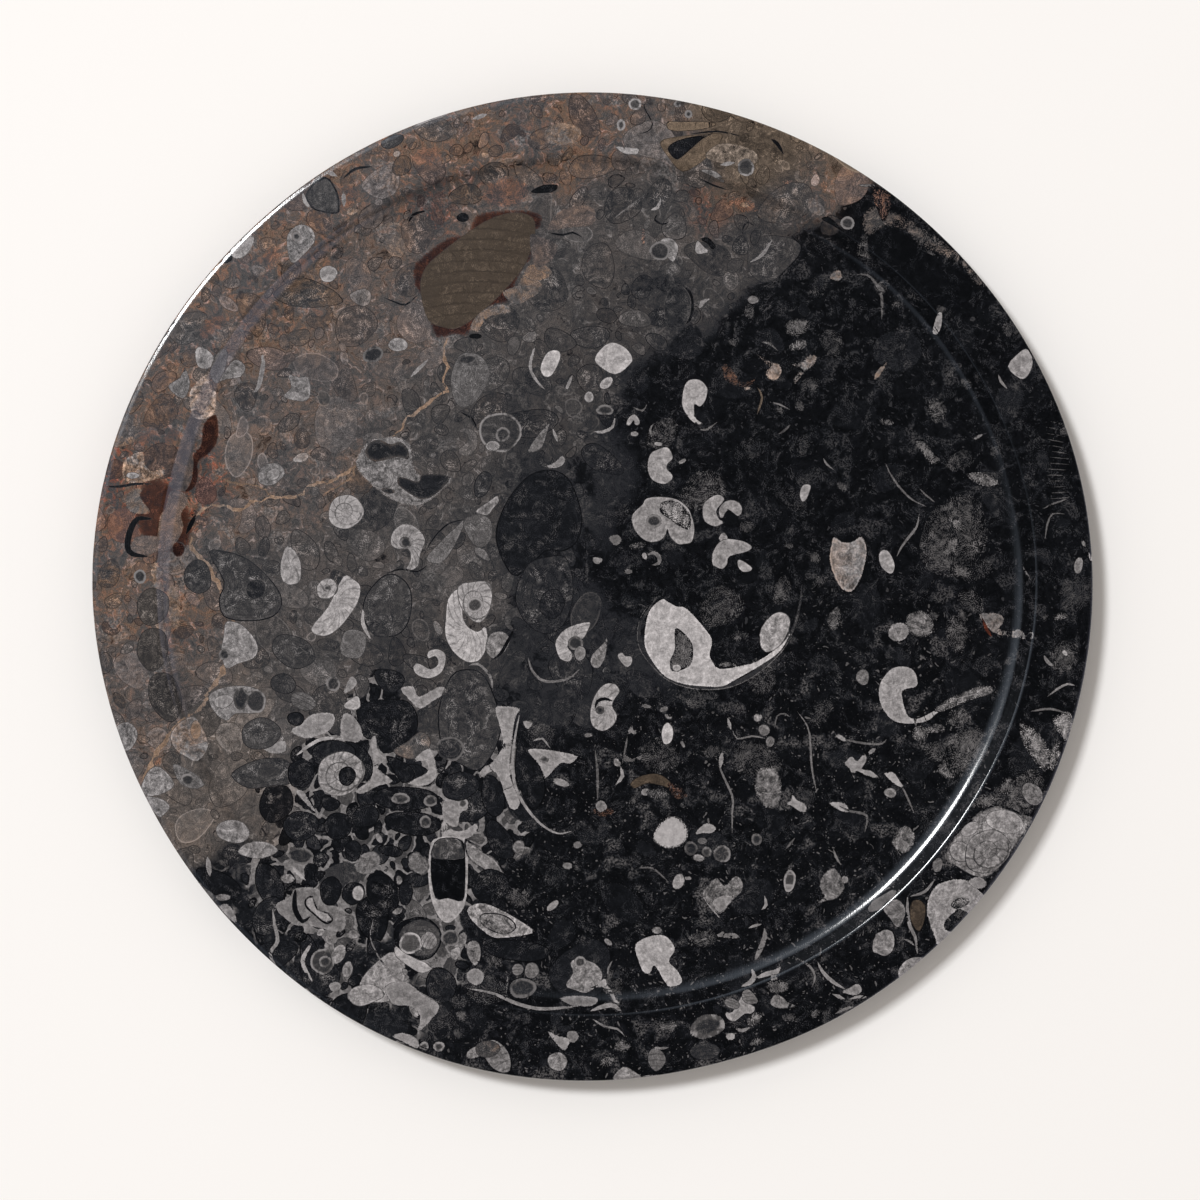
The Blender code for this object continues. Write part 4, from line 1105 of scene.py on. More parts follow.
# Where closed rings of mesh points lie: from the floor's edge up the step, and from the start of
# the rounded edge down the wall
STEP_RINGS = (0.0, 2.5, 5.0, 6.5, 7.5, 8.5, 9.5, 10.5, 12.0, 12.7, 13.4, 13.8, 14.2, 14.5, 14.8, 15.2,
              15.6)
EDGE_RINGS = (*(ROLL_WIDTH * part for part in (-1.0, -0.66, -0.33)),
              *(EDGE_ARC * part for part in (0.0, 0.25, 0.5, 0.75, 1.0)),
              EDGE_ARC + 0.5 * WALL, EDGE_ARC + WALL)


def top_sheet():
    """The drawn top of the stone, with its wall, down to the foot."""
    patches = drawing()
    lips = [lambda angle, run=run: ring_value(LIP_RADII, angle) - LIP_DISTANCE + run
            for run in STEP_RINGS]
    edges = [lambda angle, run=run: ring_value(OUTER_RADII, angle) - EDGE_ROUND + run
             for run in EDGE_RINGS]
    rings = [ring_points(RING_POINTS, radius_at) for radius_at in lips + edges]
    boundary = ring_points(RING_POINTS, lambda angle: ring_value(OUTER_RADII, angle) + SHEET_OVERHANG)
    cut = triangulated(patches, boundary, rings, sprinkled(TOP_REACH, TOP_SPACING))
    return patches, cut


def under_sheet():
    """The flat underside, out to the foot's bevel."""
    patches = underside_drawing()
    boundary = ring_points(RING_POINTS, lambda angle: ring_value(OUTER_RADII, angle) - FOOT_BEVEL)
    cut = triangulated(patches, boundary, [], sprinkled(UNDER_REACH + 1.0, UNDER_SPACING))
    return patches, cut


# Where the two sheets lie in the texture square: middle, and radius over the drawing's radius
TOP_UV = (0.43, 0.43, 0.42 / 219.0)
UNDER_UV = (0.83, 0.83, 0.16 / 201.0)
# The underside's patterns are read this far off, so that they don't repeat those of the top
UNDER_SHIFT = 700.0


# Normals are read a hair inside their points
NORMAL_INSET = 0.99999


def write_values(mesh, domain, values):
    """Store rows of four numbers on the mesh, by name."""
    for name, rows in values.items():
        mesh.attributes.new(name, "FLOAT_COLOR", domain).data.foreach_set("color", rows.ravel())


def build_plate():
    """Make the plate's mesh: two sheets welded at the foot, with all that the materials read."""
    top_patches, (top_flat, top_faces, top_owner, top_rim) = top_sheet()
    under_patches, (under_flat, under_faces, under_owner, under_rim) = under_sheet()

    top_places = on_stone(top_flat)
    under_places = np.column_stack([under_flat, np.zeros(len(under_flat))])
    weld = np.arange(len(under_flat)) + len(top_flat)
    weld[under_rim] = top_rim
    under_faces = under_faces[:, ::-1]
    places = np.concatenate([top_places, under_places])
    faces = np.concatenate([top_faces, weld[under_faces]])

    ground = np.concatenate([ground_at(top_flat), ground_at(under_flat * [-1.0, 1.0])])
    values = corner_values(top_patches, top_flat, top_faces, top_owner)
    under_values = corner_values(under_patches, under_flat, under_faces, under_owner)
    values = {name: np.concatenate([values[name], under_values[name]]) for name in values}

    top_corners = top_flat[top_faces].reshape(-1, 2)
    under_corners = under_flat[under_faces].reshape(-1, 2)
    corners = np.concatenate([top_corners, under_corners + UNDER_SHIFT])
    top_uv = top_corners * TOP_UV[2] + TOP_UV[:2]
    under_uv = under_corners * [-UNDER_UV[2], UNDER_UV[2]] + UNDER_UV[:2]
    normals = np.concatenate([stone_normals(top_flat * NORMAL_INSET)[top_faces].reshape(-1, 3),
                              np.tile([0.0, 0.0, -1.0], (len(under_faces) * 3, 1))])

    used = np.unique(faces)
    new_index = np.zeros(len(places), dtype=int)
    new_index[used] = np.arange(len(used))
    mesh = bpy.data.meshes.new("stone_plate")
    mesh.from_pydata((places[used] * MM).tolist(), [], new_index[faces].tolist())
    mesh.update()
    bed = np.column_stack([ground[used, 4:7], np.ones(len(used))])
    write_values(mesh, "POINT", {"ground": ground[used, :4], "bed": bed})
    write_values(mesh, "CORNER", values)
    drawn = np.column_stack([corners, np.zeros(len(corners))])
    mesh.attributes.new("drawing", "FLOAT_VECTOR", "CORNER").data.foreach_set("vector", drawn.ravel())
    layer = mesh.uv_layers.new(name="OFBake")
    layer.data.foreach_set("uv", np.concatenate([top_uv, under_uv]).ravel())
    mesh.shade_smooth()
    mesh.normals_split_custom_set(normals.tolist())

    plate = bpy.data.objects.new("stone_plate", mesh)
    bpy.context.scene.collection.objects.link(plate)
    return plate


class Graph:
    """Short names for building a node tree."""

    def __init__(self, tree):
        self.tree = tree

    def node(self, kind, **settings):
        """A new node, with its settings made."""
        made = self.tree.nodes.new(kind)
        for name, value in settings.items():
            setattr(made, name, value)
        return made

    def link(self, value, socket):
        """Join an output to a socket, or set the socket to a plain value."""
        if isinstance(value, bpy.types.NodeSocket):
            self.tree.links.new(value, socket)
        else:
            socket.default_value = value

    def math(self, operation, *values, clamp=False):
        """One step of arithmetic on numbers."""
        made = self.node("ShaderNodeMath", operation=operation, use_clamp=clamp)
        for value, socket in zip(values, made.inputs):
            self.link(value, socket)
        return made.outputs[0]

    def sum(self, first, *more):
        """Add numbers up. A pair is a number and the factor that it is multiplied by."""
        total = first
        for value, factor in more:
            made = self.node("ShaderNodeMath", operation="MULTIPLY_ADD")
            for given, socket in zip((value, factor, total), made.inputs):
                self.link(given, socket)
            total = made.outputs[0]
        return total

    def vector(self, operation, *values):
        """One step of arithmetic on vectors."""
        made = self.node("ShaderNodeVectorMath", operation=operation)
        for value, socket in zip(values, made.inputs):
            self.link(value, socket)
        return made.outputs["Vector"]

    def dot(self, first, second):
        """The dot product of two vectors."""
        made = self.node("ShaderNodeVectorMath", operation="DOT_PRODUCT")
        self.link(first, made.inputs[0])
        self.link(second, made.inputs[1])
        return made.outputs["Value"]

    def scaled(self, vector, factor):
        """A vector or colour times a number."""
        made = self.node("ShaderNodeVectorMath", operation="SCALE")
        self.link(vector, made.inputs[0])
        self.link(factor, made.inputs["Scale"])
        return made.outputs[0]

    def ease(self, value, low, high, start=0.0, end=1.0):
        """A smooth step from one value to another, as value goes from low to high."""
        made = self.node("ShaderNodeMapRange", interpolation_type="SMOOTHSTEP")
        for given, name in ((value, "Value"), (low, "From Min"), (high, "From Max"),
                            (start, "To Min"), (end, "To Max")):
            self.link(given, made.inputs[name])
        return made.outputs[0]

    def blend(self, factor, first, second):
        """Mix two numbers."""
        made = self.node("ShaderNodeMix", data_type="FLOAT")
        for value, socket in zip((factor, first, second), (made.inputs[0], made.inputs[2], made.inputs[3])):
            self.link(value, socket)
        return made.outputs[0]

    def tint(self, factor, first, second):
        """Mix two colours."""
        made = self.node("ShaderNodeMix", data_type="RGBA")
        for value, socket in zip((factor, first, second), (made.inputs[0], made.inputs[6], made.inputs[7])):
            self.link(value, socket)
        return made.outputs[2]

    def noise(self, vector, scale, detail=3.0, roughness=0.55):
        """Cloudy noise: its number and its colour."""
        made = self.node("ShaderNodeTexNoise", noise_dimensions="2D")
        for value, name in ((vector, "Vector"), (scale, "Scale"), (detail, "Detail"),
                            (roughness, "Roughness")):
            self.link(value, made.inputs[name])
        return made.outputs

    def cells(self, vector, scale, feature="F1"):
        """Random cells: the distance to their middles, or to the edges between them."""
        made = self.node("ShaderNodeTexVoronoi", voronoi_dimensions="2D", feature=feature)
        self.link(vector, made.inputs["Vector"])
        self.link(scale, made.inputs["Scale"])
        return made.outputs

    def attribute(self, name):
        """What the mesh carries under a name."""
        return self.node("ShaderNodeAttribute", attribute_name=name).outputs

    def parts(self, vector):
        """The three numbers of a vector."""
        made = self.node("ShaderNodeSeparateXYZ")
        self.link(vector, made.inputs[0])
        return made.outputs


NUMBER = "NodeSocketFloat"
COLOUR = "NodeSocketColor"
VECTOR = "NodeSocketVector"


def new_group(name, inputs, outputs):
    """A shader node group with named sockets, and the graph that fills it."""
    group = bpy.data.node_groups.new(name, "ShaderNodeTree")
    for socket, kind, default in inputs:
        made = group.interface.new_socket(socket, in_out="INPUT", socket_type=kind)
        if default is not None:
            made.default_value = default
    for socket, kind in outputs:
        group.interface.new_socket(socket, in_out="OUTPUT", socket_type=kind)
    graph = Graph(group)
    return group, graph, graph.node("NodeGroupInput").outputs, graph.node("NodeGroupOutput").inputs


# The colours that a tone is multiplied by: black and grey mud, and full brown, olive and rust. The black's
# blue cast is a painted reflection: the bluish sky mirrored in the polish, laid into the dark stone's own
# colour
BLACK_HUE_WITH_PAINTED_SHEEN = (0.86, 0.95, 1.20, 1.0)
GREY_HUE = (1.02, 0.98, 1.00, 1.0)
BROWN_HUE = (1.42, 0.95, 0.68, 1.0)
OLIVE_HUE = (1.34, 0.99, 0.70, 1.0)
RUST_HUE = (2.20, 0.62, 0.36, 1.0)


def colour_group():
    """Turn a tone and its warmth into the colour of the stone, with a painted bluish sky reflection on its
    darkest tones.
    """
    group, graph, given, made = new_group(
        "stone colour",
        (("Tone", NUMBER, 0.3), ("Brown", NUMBER, 0.0), ("Rust", NUMBER, 0.0), ("Olive", NUMBER, 0.0)),
        (("Colour", COLOUR),))
    # Dark tones take the black's blue cast, a painted reflection of the sky in the polish
    hue = graph.tint(graph.ease(given["Tone"], 0.10, 0.28), BLACK_HUE_WITH_PAINTED_SHEEN, GREY_HUE)
    hue = graph.tint(given["Brown"], hue, BROWN_HUE)
    hue = graph.tint(given["Olive"], hue, OLIVE_HUE)
    hue = graph.tint(given["Rust"], hue, RUST_HUE)
    light = graph.math("POWER", graph.math("MAXIMUM", given["Tone"], 0.02), 2.2)
    graph.link(graph.scaled(hue, light), made["Colour"])
    return group


def mud_group():
    """Changes of tone in the lime mud, and its curly hairlines and murky patches."""
    group, graph, given, made = new_group(
        "mud mottling",
        (("Place", VECTOR, None), ("Warped", VECTOR, None)),
        (("Slow", NUMBER), ("Fine", NUMBER), ("Grit", NUMBER), ("Curls", NUMBER), ("Wisps", NUMBER),
         ("Murk", NUMBER)))
    noise = {}
    for name, place, scale, detail, roughness in (("Slow", "Warped", 0.055, 4.0, 0.62),
                                                  ("Swirl", "Warped", 0.15, 2.0, 0.5),
                                                  ("Fine", "Warped", 0.42, 5.0, 0.68),
                                                  ("Grit", "Place", 2.4, 1.0, 0.6)):
        noise[name] = graph.math("SUBTRACT", graph.noise(given[place], scale, detail, roughness)[0], 0.5)
    for name in ("Slow", "Fine", "Grit"):
        graph.link(noise[name], made[name])
    long_curls = graph.ease(graph.math("ABSOLUTE", noise["Swirl"]), 0.0, 0.012, 1.0, 0.0)
    short_curls = graph.ease(graph.math("ABSOLUTE", noise["Fine"]), 0.0, 0.016, 0.7, 0.0)
    graph.link(graph.math("MAXIMUM", long_curls, short_curls), made["Curls"])
    beside = graph.math("ABSOLUTE", graph.math("SUBTRACT", noise["Swirl"], 0.075))
    in_parts = graph.ease(noise["Fine"], -0.06, 0.12)
    wisps = graph.math("MULTIPLY", graph.ease(beside, 0.0, 0.035, 1.0, 0.0), in_parts)
    graph.link(wisps, made["Wisps"])
    grains = graph.ease(graph.sum(noise["Fine"], (noise["Grit"], 0.9)), -0.05, 0.28)
    murky = graph.ease(noise["Swirl"], -0.10, 0.14, 0.12, 1.0)
    graph.link(graph.math("MULTIPLY", grains, murky), made["Murk"])
    return group


def fragment_group():
    """White specks and clouds of broken shell."""
    group, graph, given, made = new_group(
        "shell fragments",
        (("Place", VECTOR, None), ("Warped", VECTOR, None)),
        (("Specks", NUMBER), ("Clouds", NUMBER)))
    cells = graph.cells(given["Warped"], 0.7)
    chance = graph.parts(cells["Color"])[0]
    size = graph.math("MULTIPLY", graph.math("POWER", chance, 9.0), 0.3)
    graph.link(graph.ease(cells["Distance"], size, graph.math("ADD", size, 0.08), 1.0, 0.0), made["Specks"])
    soft = graph.ease(graph.noise(given["Warped"], 0.075, 2.0, 0.6)[0], 0.55, 0.72)
    grain = graph.ease(graph.noise(given["Place"], 1.1, 3.0, 0.75)[0], 0.42, 0.62)
    graph.link(graph.math("MULTIPLY", soft, grain), made["Clouds"])
    return group


def packed_group():
    """Oval sections packed side by side, in cells of a given size with gaps between them."""
    group, graph, given, made = new_group(
        "packed sections",
        (("Place", VECTOR, None), ("Size", NUMBER, 8.0), ("Gap", NUMBER, 0.5)),
        (("Inside", NUMBER), ("Rim", NUMBER), ("Chance", NUMBER)))
    scale = graph.math("DIVIDE", 1.0, given["Size"])
    middles = graph.cells(given["Place"], scale)
    sides = graph.cells(given["Place"], scale, "DISTANCE_TO_EDGE")
    chance, other, _ = graph.parts(middles["Color"])
    radius = graph.sum(0.42, (chance, 0.3))
    side = graph.sum(graph.math("MULTIPLY", given["Gap"], -0.5), (sides["Distance"], given["Size"]))
    round_side = graph.math("MULTIPLY", graph.math("SUBTRACT", radius, middles["Distance"]), given["Size"])
    depth = graph.math("SMOOTH_MIN", side, round_side, 0.8)
    graph.link(graph.ease(depth, 0.0, 0.2), made["Inside"])
    graph.link(graph.ease(graph.math("ABSOLUTE", depth), 0.08, 0.3, 1.0, 0.0), made["Rim"])
    graph.link(other, made["Chance"])
    return group


def crystal_group():
    """The grain of calcite: pale crystals, greyer in places, with fine dark cracks."""
    group, graph, given, made = new_group(
        "calcite grain",
        (("Place", VECTOR, None), ("Warped", VECTOR, None)),
        (("Cracks", NUMBER), ("Stain", NUMBER)))
    stain = graph.math("SUBTRACT", graph.noise(given["Warped"], 0.36, 4.0, 0.62)[0], 0.5)
    grain = graph.math("SUBTRACT", graph.noise(given["Place"], 1.0, 2.0, 0.6)[0], 0.5)
    graph.link(graph.ease(graph.math("ABSOLUTE", grain), 0.0, 0.03, 1.0, 0.0), made["Cracks"])
    graph.link(graph.sum(stain, (grain, 0.5)), made["Stain"])
    return group


def section_group():
    """The lines inside a cut shell: its coil, its chamber walls, stripes and nested outlines."""
    group, graph, given, made = new_group(
        "shell section",
        (("Local", VECTOR, None), ("Along", NUMBER, -1.0), ("Edge", NUMBER, 0.0), ("Septa", NUMBER, 0.0),
         ("Coil", NUMBER, 0.0), ("Nested", NUMBER, 0.0), ("Waver", NUMBER, 0.0)),
        (("Lines", NUMBER), ("Inner", NUMBER)))
    u, v, _ = graph.parts(given["Local"])
    angle = graph.math("DIVIDE", graph.math("ARCTAN2", v, u), TAU)
    radius = graph.math("SQRT", graph.sum(graph.math("MULTIPLY", u, u), (v, v)))
    winding = graph.sum(graph.math("LOGARITHM", radius, 2.4), (angle, -1.0), (given["Waver"], 0.25))
    coil = graph.math("MULTIPLY", graph.ease(graph.math("PINGPONG", winding, 0.5), 0.03, 0.08, 1.0, 0.0),
                      graph.math("GREATER_THAN", given["Coil"], 0.5))
    on_spine = graph.math("GREATER_THAN", given["Along"], -0.5)
    sweep = graph.blend(on_spine, graph.sum(angle, (radius, 0.12)), given["Along"])
    stripes = graph.math("LESS_THAN", given["Coil"], -0.5)
    arched = graph.sum(graph.math("MULTIPLY", v, 0.5), (graph.math("MULTIPLY", u, u), 0.06))
    sweep = graph.sum(graph.blend(stripes, sweep, arched), (given["Waver"], 0.05))
    chamber = graph.math("PINGPONG", graph.math("MULTIPLY", sweep, given["Septa"]), 0.5)
    septa = graph.math("MULTIPLY", graph.ease(chamber, 0.04, 0.14, 1.0, 0.0),
                       graph.math("GREATER_THAN", given["Septa"], 0.5))
    depth = graph.sum(given["Edge"], (given["Waver"], 1.6))
    deep = graph.math("GREATER_THAN", depth, graph.math("MULTIPLY", given["Nested"], 0.8))
    deep = graph.math("MULTIPLY", deep, graph.math("GREATER_THAN", given["Nested"], 0.01))
    ring = graph.math("PINGPONG", depth, graph.math("MULTIPLY", given["Nested"], 0.5))
    ring = graph.math("MULTIPLY", graph.ease(ring, 0.03, 0.2, 1.0, 0.0), deep)
    lines = graph.math("MAXIMUM", coil, graph.math("MULTIPLY", septa, 0.6))
    graph.link(graph.math("MAXIMUM", lines, graph.math("MULTIPLY", ring, 0.5)), made["Lines"])
    graph.link(deep, made["Inner"])
    return group


def polish_group():
    """Fine scratches and the small changes of gloss that polishing leaves."""
    group, graph, given, made = new_group(
        "polish", (("Place", VECTOR, None),), (("Height", NUMBER), ("Dull", NUMBER)))
    stretched = graph.node("ShaderNodeMapping")
    graph.link(given["Place"], stretched.inputs["Vector"])
    stretched.inputs["Rotation"].default_value = (0.0, 0.0, 0.6)
    stretched.inputs["Scale"].default_value = (2.0, 0.06, 2.0)
    graph.link(graph.noise(stretched.outputs[0], 1.0, 2.0)[0], made["Height"])
    graph.link(graph.noise(given["Place"], 0.3, 3.0)[0], made["Dull"])
    return group


def finish_groups():
    """The node groups that the stone's materials share."""
    return {"colour": colour_group(), "mud": mud_group(), "fragments": fragment_group(),
            "packed": packed_group(), "crystal": crystal_group(), "section": section_group(),
            "polish": polish_group()}


class StoneGraph(Graph):
    """The node tree of the stone's material, in steps that hand on the tone."""

    def __init__(self, tree, groups):
        super().__init__(tree)
        self.groups = groups
        self.place = self.attribute("drawing")["Vector"]
        warp = self.noise(self.place, 0.09, 3.0)["Color"]
        shift = self.scaled(self.vector("SUBTRACT", warp, (0.5, 0.5, 0.5)), 9.0)
        self.warped = self.vector("ADD", self.place, shift)
        both = {"Place": self.place, "Warped": self.warped}
        self.mud = self.group("mud", **both)
        self.bits = self.group("fragments", **both)
        self.crystal = self.group("crystal", **both)

    def group(self, which, **sockets):
        made = self.node("ShaderNodeGroup", node_tree=self.groups[which])
        for socket, value in sockets.items():
            self.link(value, made.inputs[socket])
        return made.outputs

    def roughened(self, tone, amount=1.0):
        """A tone with the mottling of the mud."""
        mottling = self.sum(1.0, (self.mud["Slow"], 0.7), (self.mud["Fine"], 0.95), (self.mud["Grit"], 0.7))
        return self.math("MULTIPLY", tone, self.blend(amount, 1.0, mottling))

    def ground_tone(self, ground_tone, black_part, spar_part, fragments):
        """The tone between the drawn shells: grey mud, black mud or a mosaic in spar."""
        packed = self.group("packed", Place=self.warped, Size=7.5, Gap=0.9)
        black = self.sum(black_part, (self.mud["Slow"], 2.0), (self.mud["Fine"], 1.2))
        black = self.ease(black, 0.28, 0.70)
        in_places = self.ease(self.mud["Slow"], -0.12, 0.10)
        curls = self.math("MULTIPLY", self.mud["Curls"], self.blend(in_places, 0.1, 1.0))
        grey = self.math("MULTIPLY", ground_tone, self.sum(0.96, (curls, -0.45), (self.mud["Wisps"], 0.45)))
        dark = self.sum(0.068, (curls, 0.04), (self.mud["Wisps"], 0.07), (self.mud["Murk"], 0.12))
        tone = self.roughened(self.blend(black, grey, dark))

        section = self.ease(packed["Chance"], 0.55, 0.75, 0.09, 0.25)
        section = self.sum(section, (self.mud["Murk"], 0.13))
        section = self.math("MULTIPLY", section, self.sum(1.0, (packed["Rim"], -0.6)))
        gaps = self.sum(0.46, (self.crystal["Stain"], 0.45), (curls, -0.22))
        mosaic = self.blend(packed["Inside"], gaps, self.roughened(section))
        spar = self.ease(self.sum(spar_part, (self.mud["Slow"], 0.8)), 0.36, 0.50)
        tone = self.blend(spar, tone, mosaic)

        clouded = self.math("MULTIPLY", self.bits["Clouds"], fragments)
        tone = self.blend(clouded, tone, self.sum(0.30, (ground_tone, 0.65)))
        specks = self.math("MULTIPLY", self.bits["Specks"], fragments)
        return self.math("MAXIMUM", tone, self.math("MULTIPLY", specks, 0.40))

    def shell_fill(self, patch_tone, mottle, speckle, edge, inner):
        """The tone of what fills a drawn shell: mud where it is dark, calcite where it is pale."""
        white = self.ease(patch_tone, 0.32, 0.45)
        rim = self.ease(edge, 0.0, 1.6, 0.05, -0.02)
        calcite = self.sum(self.math("ADD", patch_tone, rim),
                           (self.math("MULTIPLY", self.crystal["Cracks"], mottle), -0.07),
                           (self.math("MULTIPLY", self.crystal["Stain"], mottle), 0.50),
                           (self.math("MULTIPLY", self.mud["Grit"], mottle), 0.22))
        murky = self.math("MULTIPLY", self.mud["Murk"], self.sum(0.09, (speckle, 0.12)))
        mud = self.sum(self.roughened(patch_tone, mottle), (murky, self.sum(1.0, (inner, 1.2))),
                       (self.math("MULTIPLY", self.mud["Curls"], patch_tone), -0.2))
        return self.blend(white, mud, calcite)

    def patch_tone(self, patch_tone, where, form, grain):
        """The tone inside a drawn shell, and how far the shell covers the ground."""
        edge = self.parts(where["Vector"])[2]
        wall_tone, wall_width, fade = self.parts(form["Vector"])
        mottle, septa, coil = self.parts(grain["Vector"])
        section = self.group("section", Local=where["Vector"], Along=where["Alpha"], Edge=edge, Septa=septa,
                             Coil=coil, Nested=grain["Alpha"], Waver=self.mud["Fine"])
        fill = self.shell_fill(patch_tone, mottle, form["Alpha"], edge, section["Inner"])
        broken = self.ease(self.sum(self.mud["Slow"], (self.mud["Fine"], 0.8)), -0.16, 0.06, 0.3, 1.0)
        lines = self.math("MULTIPLY", section["Lines"], self.math("MULTIPLY", broken, 0.85))
        fill = self.blend(lines, fill, wall_tone)
        near, far = (self.math("MULTIPLY", wall_width, share) for share in (0.6, 1.3))
        in_wall = self.math("MULTIPLY", self.ease(edge, near, far, 1.0, 0.0), broken)
        in_wall = self.math("MULTIPLY", in_wall, self.math("GREATER_THAN", wall_width, 0.01))
        fill = self.blend(in_wall, fill, wall_tone)
        ragged = self.math("MULTIPLY", self.sum(self.mud["Fine"], (self.mud["Grit"], 1.2)), fade)
        cover = self.ease(self.sum(edge, (ragged, 2.6)), 0.0, fade)
        grains = self.sum(self.mud["Fine"], (self.mud["Grit"], 1.3), (self.mud["Slow"], 0.6))
        thin = self.ease(fade, 0.8, 3.0, 1.0, self.ease(grains, -0.16, 0.14, 0.15, 1.0))
        cover = self.math("MULTIPLY", cover, thin)
        return fill, self.math("MULTIPLY", cover, self.math("GREATER_THAN", mottle, 0.001))


def stone_material(name, groups, roughness):
    """Polished stone that reads its areas and its ground from the mesh."""
    material = bpy.data.materials.new(name)
    material.use_nodes = True
    shader = material.node_tree.nodes["Principled BSDF"]
    graph = StoneGraph(material.node_tree, groups)

    ground = graph.attribute("ground")
    patch = graph.attribute("patch")
    black_part, spar_part, fragments = graph.parts(graph.attribute("bed")["Vector"])
    ground_tone, ground_brown, ground_rust = graph.parts(ground["Vector"])
    patch_tone, patch_brown, patch_rust = graph.parts(patch["Vector"])
    tone = graph.ground_tone(ground_tone, black_part, spar_part, fragments)
    fill, cover = graph.patch_tone(patch_tone, graph.attribute("place"), graph.attribute("form"),
                                   graph.attribute("grain"))
    tone = graph.blend(cover, tone, fill)

    warmth = graph.sum(0.7, (graph.mud["Slow"], 5.0), (graph.mud["Fine"], 3.5))
    stained = graph.math("MULTIPLY", ground_brown, graph.sum(1.0, (graph.mud["Wisps"], -0.7)))
    brown = graph.math("MULTIPLY", graph.blend(cover, stained, patch_brown), warmth, clamp=True)
    patchy = graph.ease(graph.mud["Fine"], -0.05, 0.2, 0.0, 2.0)
    rust = graph.blend(cover, graph.math("MULTIPLY", ground_rust, patchy, clamp=True), patch_rust)
    olive = graph.blend(cover, ground["Alpha"], patch["Alpha"])
    colour = graph.group("colour", Tone=tone, Brown=brown, Rust=rust, Olive=olive)

    finish = graph.group("polish", Place=graph.place)
    graph.link(colour["Colour"], shader.inputs["Base Color"])
    graph.link(graph.sum(roughness, (finish["Dull"], 0.06)), shader.inputs["Roughness"])
    bump = graph.node("ShaderNodeBump")
    bump.inputs["Strength"].default_value = 0.03
    bump.inputs["Distance"].default_value = 0.0005
    graph.link(finish["Height"], bump.inputs["Height"])
    graph.link(bump.outputs["Normal"], shader.inputs["Normal"])
    shader.inputs["IOR"].default_value = 1.52
    return material


class StudioSettings(bpy.types.PropertyGroup):
    """The light and the camera."""
    camera_height: bpy.props.FloatProperty(
        name="Camera height", description="Height of the camera over the floor",
        default=1.8, unit="LENGTH")
    frame_width: bpy.props.FloatProperty(
        name="Frame width", description="Width that the camera sees at the rim",
        default=0.48, unit="LENGTH")
    frame_centre: bpy.props.FloatVectorProperty(
        name="Frame centre", description="Where the middle of the picture lies, from the plate's middle",
        default=(0.003, -0.0054), unit="LENGTH", size=2)
    key_zenith: bpy.props.FloatProperty(
        name="Softbox lean", description="Angle of the softbox off the vertical",
        default=math.radians(28.0), subtype="ANGLE")
    key_bearing: bpy.props.FloatProperty(
        name="Softbox bearing", description="Direction of the softbox, anticlockwise from +X",
        default=math.radians(139.0), subtype="ANGLE")
    key_distance: bpy.props.FloatProperty(
        name="Softbox distance", description="Distance from the plate to the softbox",
        default=7.0, unit="LENGTH")
    key_size: bpy.props.FloatVectorProperty(
        name="Softbox size", description="Width and height of the softbox",
        default=(1.02, 1.33), unit="LENGTH", size=2)
    key_power: bpy.props.FloatProperty(
        name="Softbox power", description="Power of the softbox in watts", default=308.0)
    sky_power: bpy.props.FloatProperty(
        name="Room light", description="Strength of the light from the room", default=1.0)
    floor_colour: bpy.props.FloatVectorProperty(
        name="Floor colour", description="Colour of the pale floor",
        default=(0.915, 0.912, 0.908), subtype="COLOR", size=3)


class StoneSettings(bpy.types.PropertyGroup):
    """The polish of the stone."""
    roughness: bpy.props.FloatProperty(
        name="Roughness", description="How dull the polish is", default=0.09, min=0.0, max=1.0)


class PLATE_OT_stone(bpy.types.Operator):
    """Cut the platter with its fossils and polish it"""
    bl_idname = "plate.stone"
    bl_label = "Cut the fossil plate"

    def execute(self, context):
        plate = build_plate()
        roughness = context.scene.plate_stone.roughness
        plate.data.materials.append(stone_material("polished fossil limestone", finish_groups(), roughness))
        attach(plate, "root")
        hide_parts(PLATE)
        return {"FINISHED"}


# In metres
FLOOR_SIZE = 14.0


class PLATE_OT_stage(bpy.types.Operator):
    """Lay the pale floor and set the softbox, the room light and the camera"""
    bl_idname = "plate.stage"
    bl_label = "Set the stage"

    def execute(self, context):
        studio = context.scene.plate_studio
        bpy.ops.object.select_all(action="DESELECT")
        bpy.ops.mesh.primitive_plane_add(size=FLOOR_SIZE, location=(0.0, 0.0, 0.0))
        floor = context.active_object
        floor.name = "floor"
        floor.data.materials.append(floor_material(studio))
        add_softbox(studio)
        set_room_light(context.scene, studio)
        set_camera(context.scene, studio)
        context.scene.view_settings.view_transform = "Standard"
        return {"FINISHED"}


def floor_material(studio):
    """Pale matt paint."""
    material = bpy.data.materials.new("pale floor")
    material.use_nodes = True
    shader = material.node_tree.nodes["Principled BSDF"]
    shader.inputs["Base Color"].default_value = (*studio.floor_colour, 1.0)
    shader.inputs["Roughness"].default_value = 0.9
    shader.inputs["Specular IOR Level"].default_value = 0.1
    return material


def direction_from(zenith, bearing):
    """The unit vector at an angle off the vertical, towards a bearing."""
    flat = math.sin(zenith)
    return Vector((flat * math.cos(bearing), flat * math.sin(bearing), math.cos(zenith)))


def softbox_direction(studio):
    """The way from the plate to the softbox."""
    return direction_from(studio.key_zenith, studio.key_bearing)


def add_softbox(studio):
    """The one lamp, off the vertical towards the upper left."""
    place = softbox_direction(studio)
    bpy.ops.object.light_add(type="AREA", location=place * studio.key_distance)
    lamp = bpy.context.active_object
    lamp.name = "softbox"
    lamp.rotation_euler = place.to_track_quat("Z", "Y").to_euler()
    lamp.data.shape = "RECTANGLE"
    lamp.data.size, lamp.data.size_y = studio.key_size
    lamp.data.energy = studio.key_power


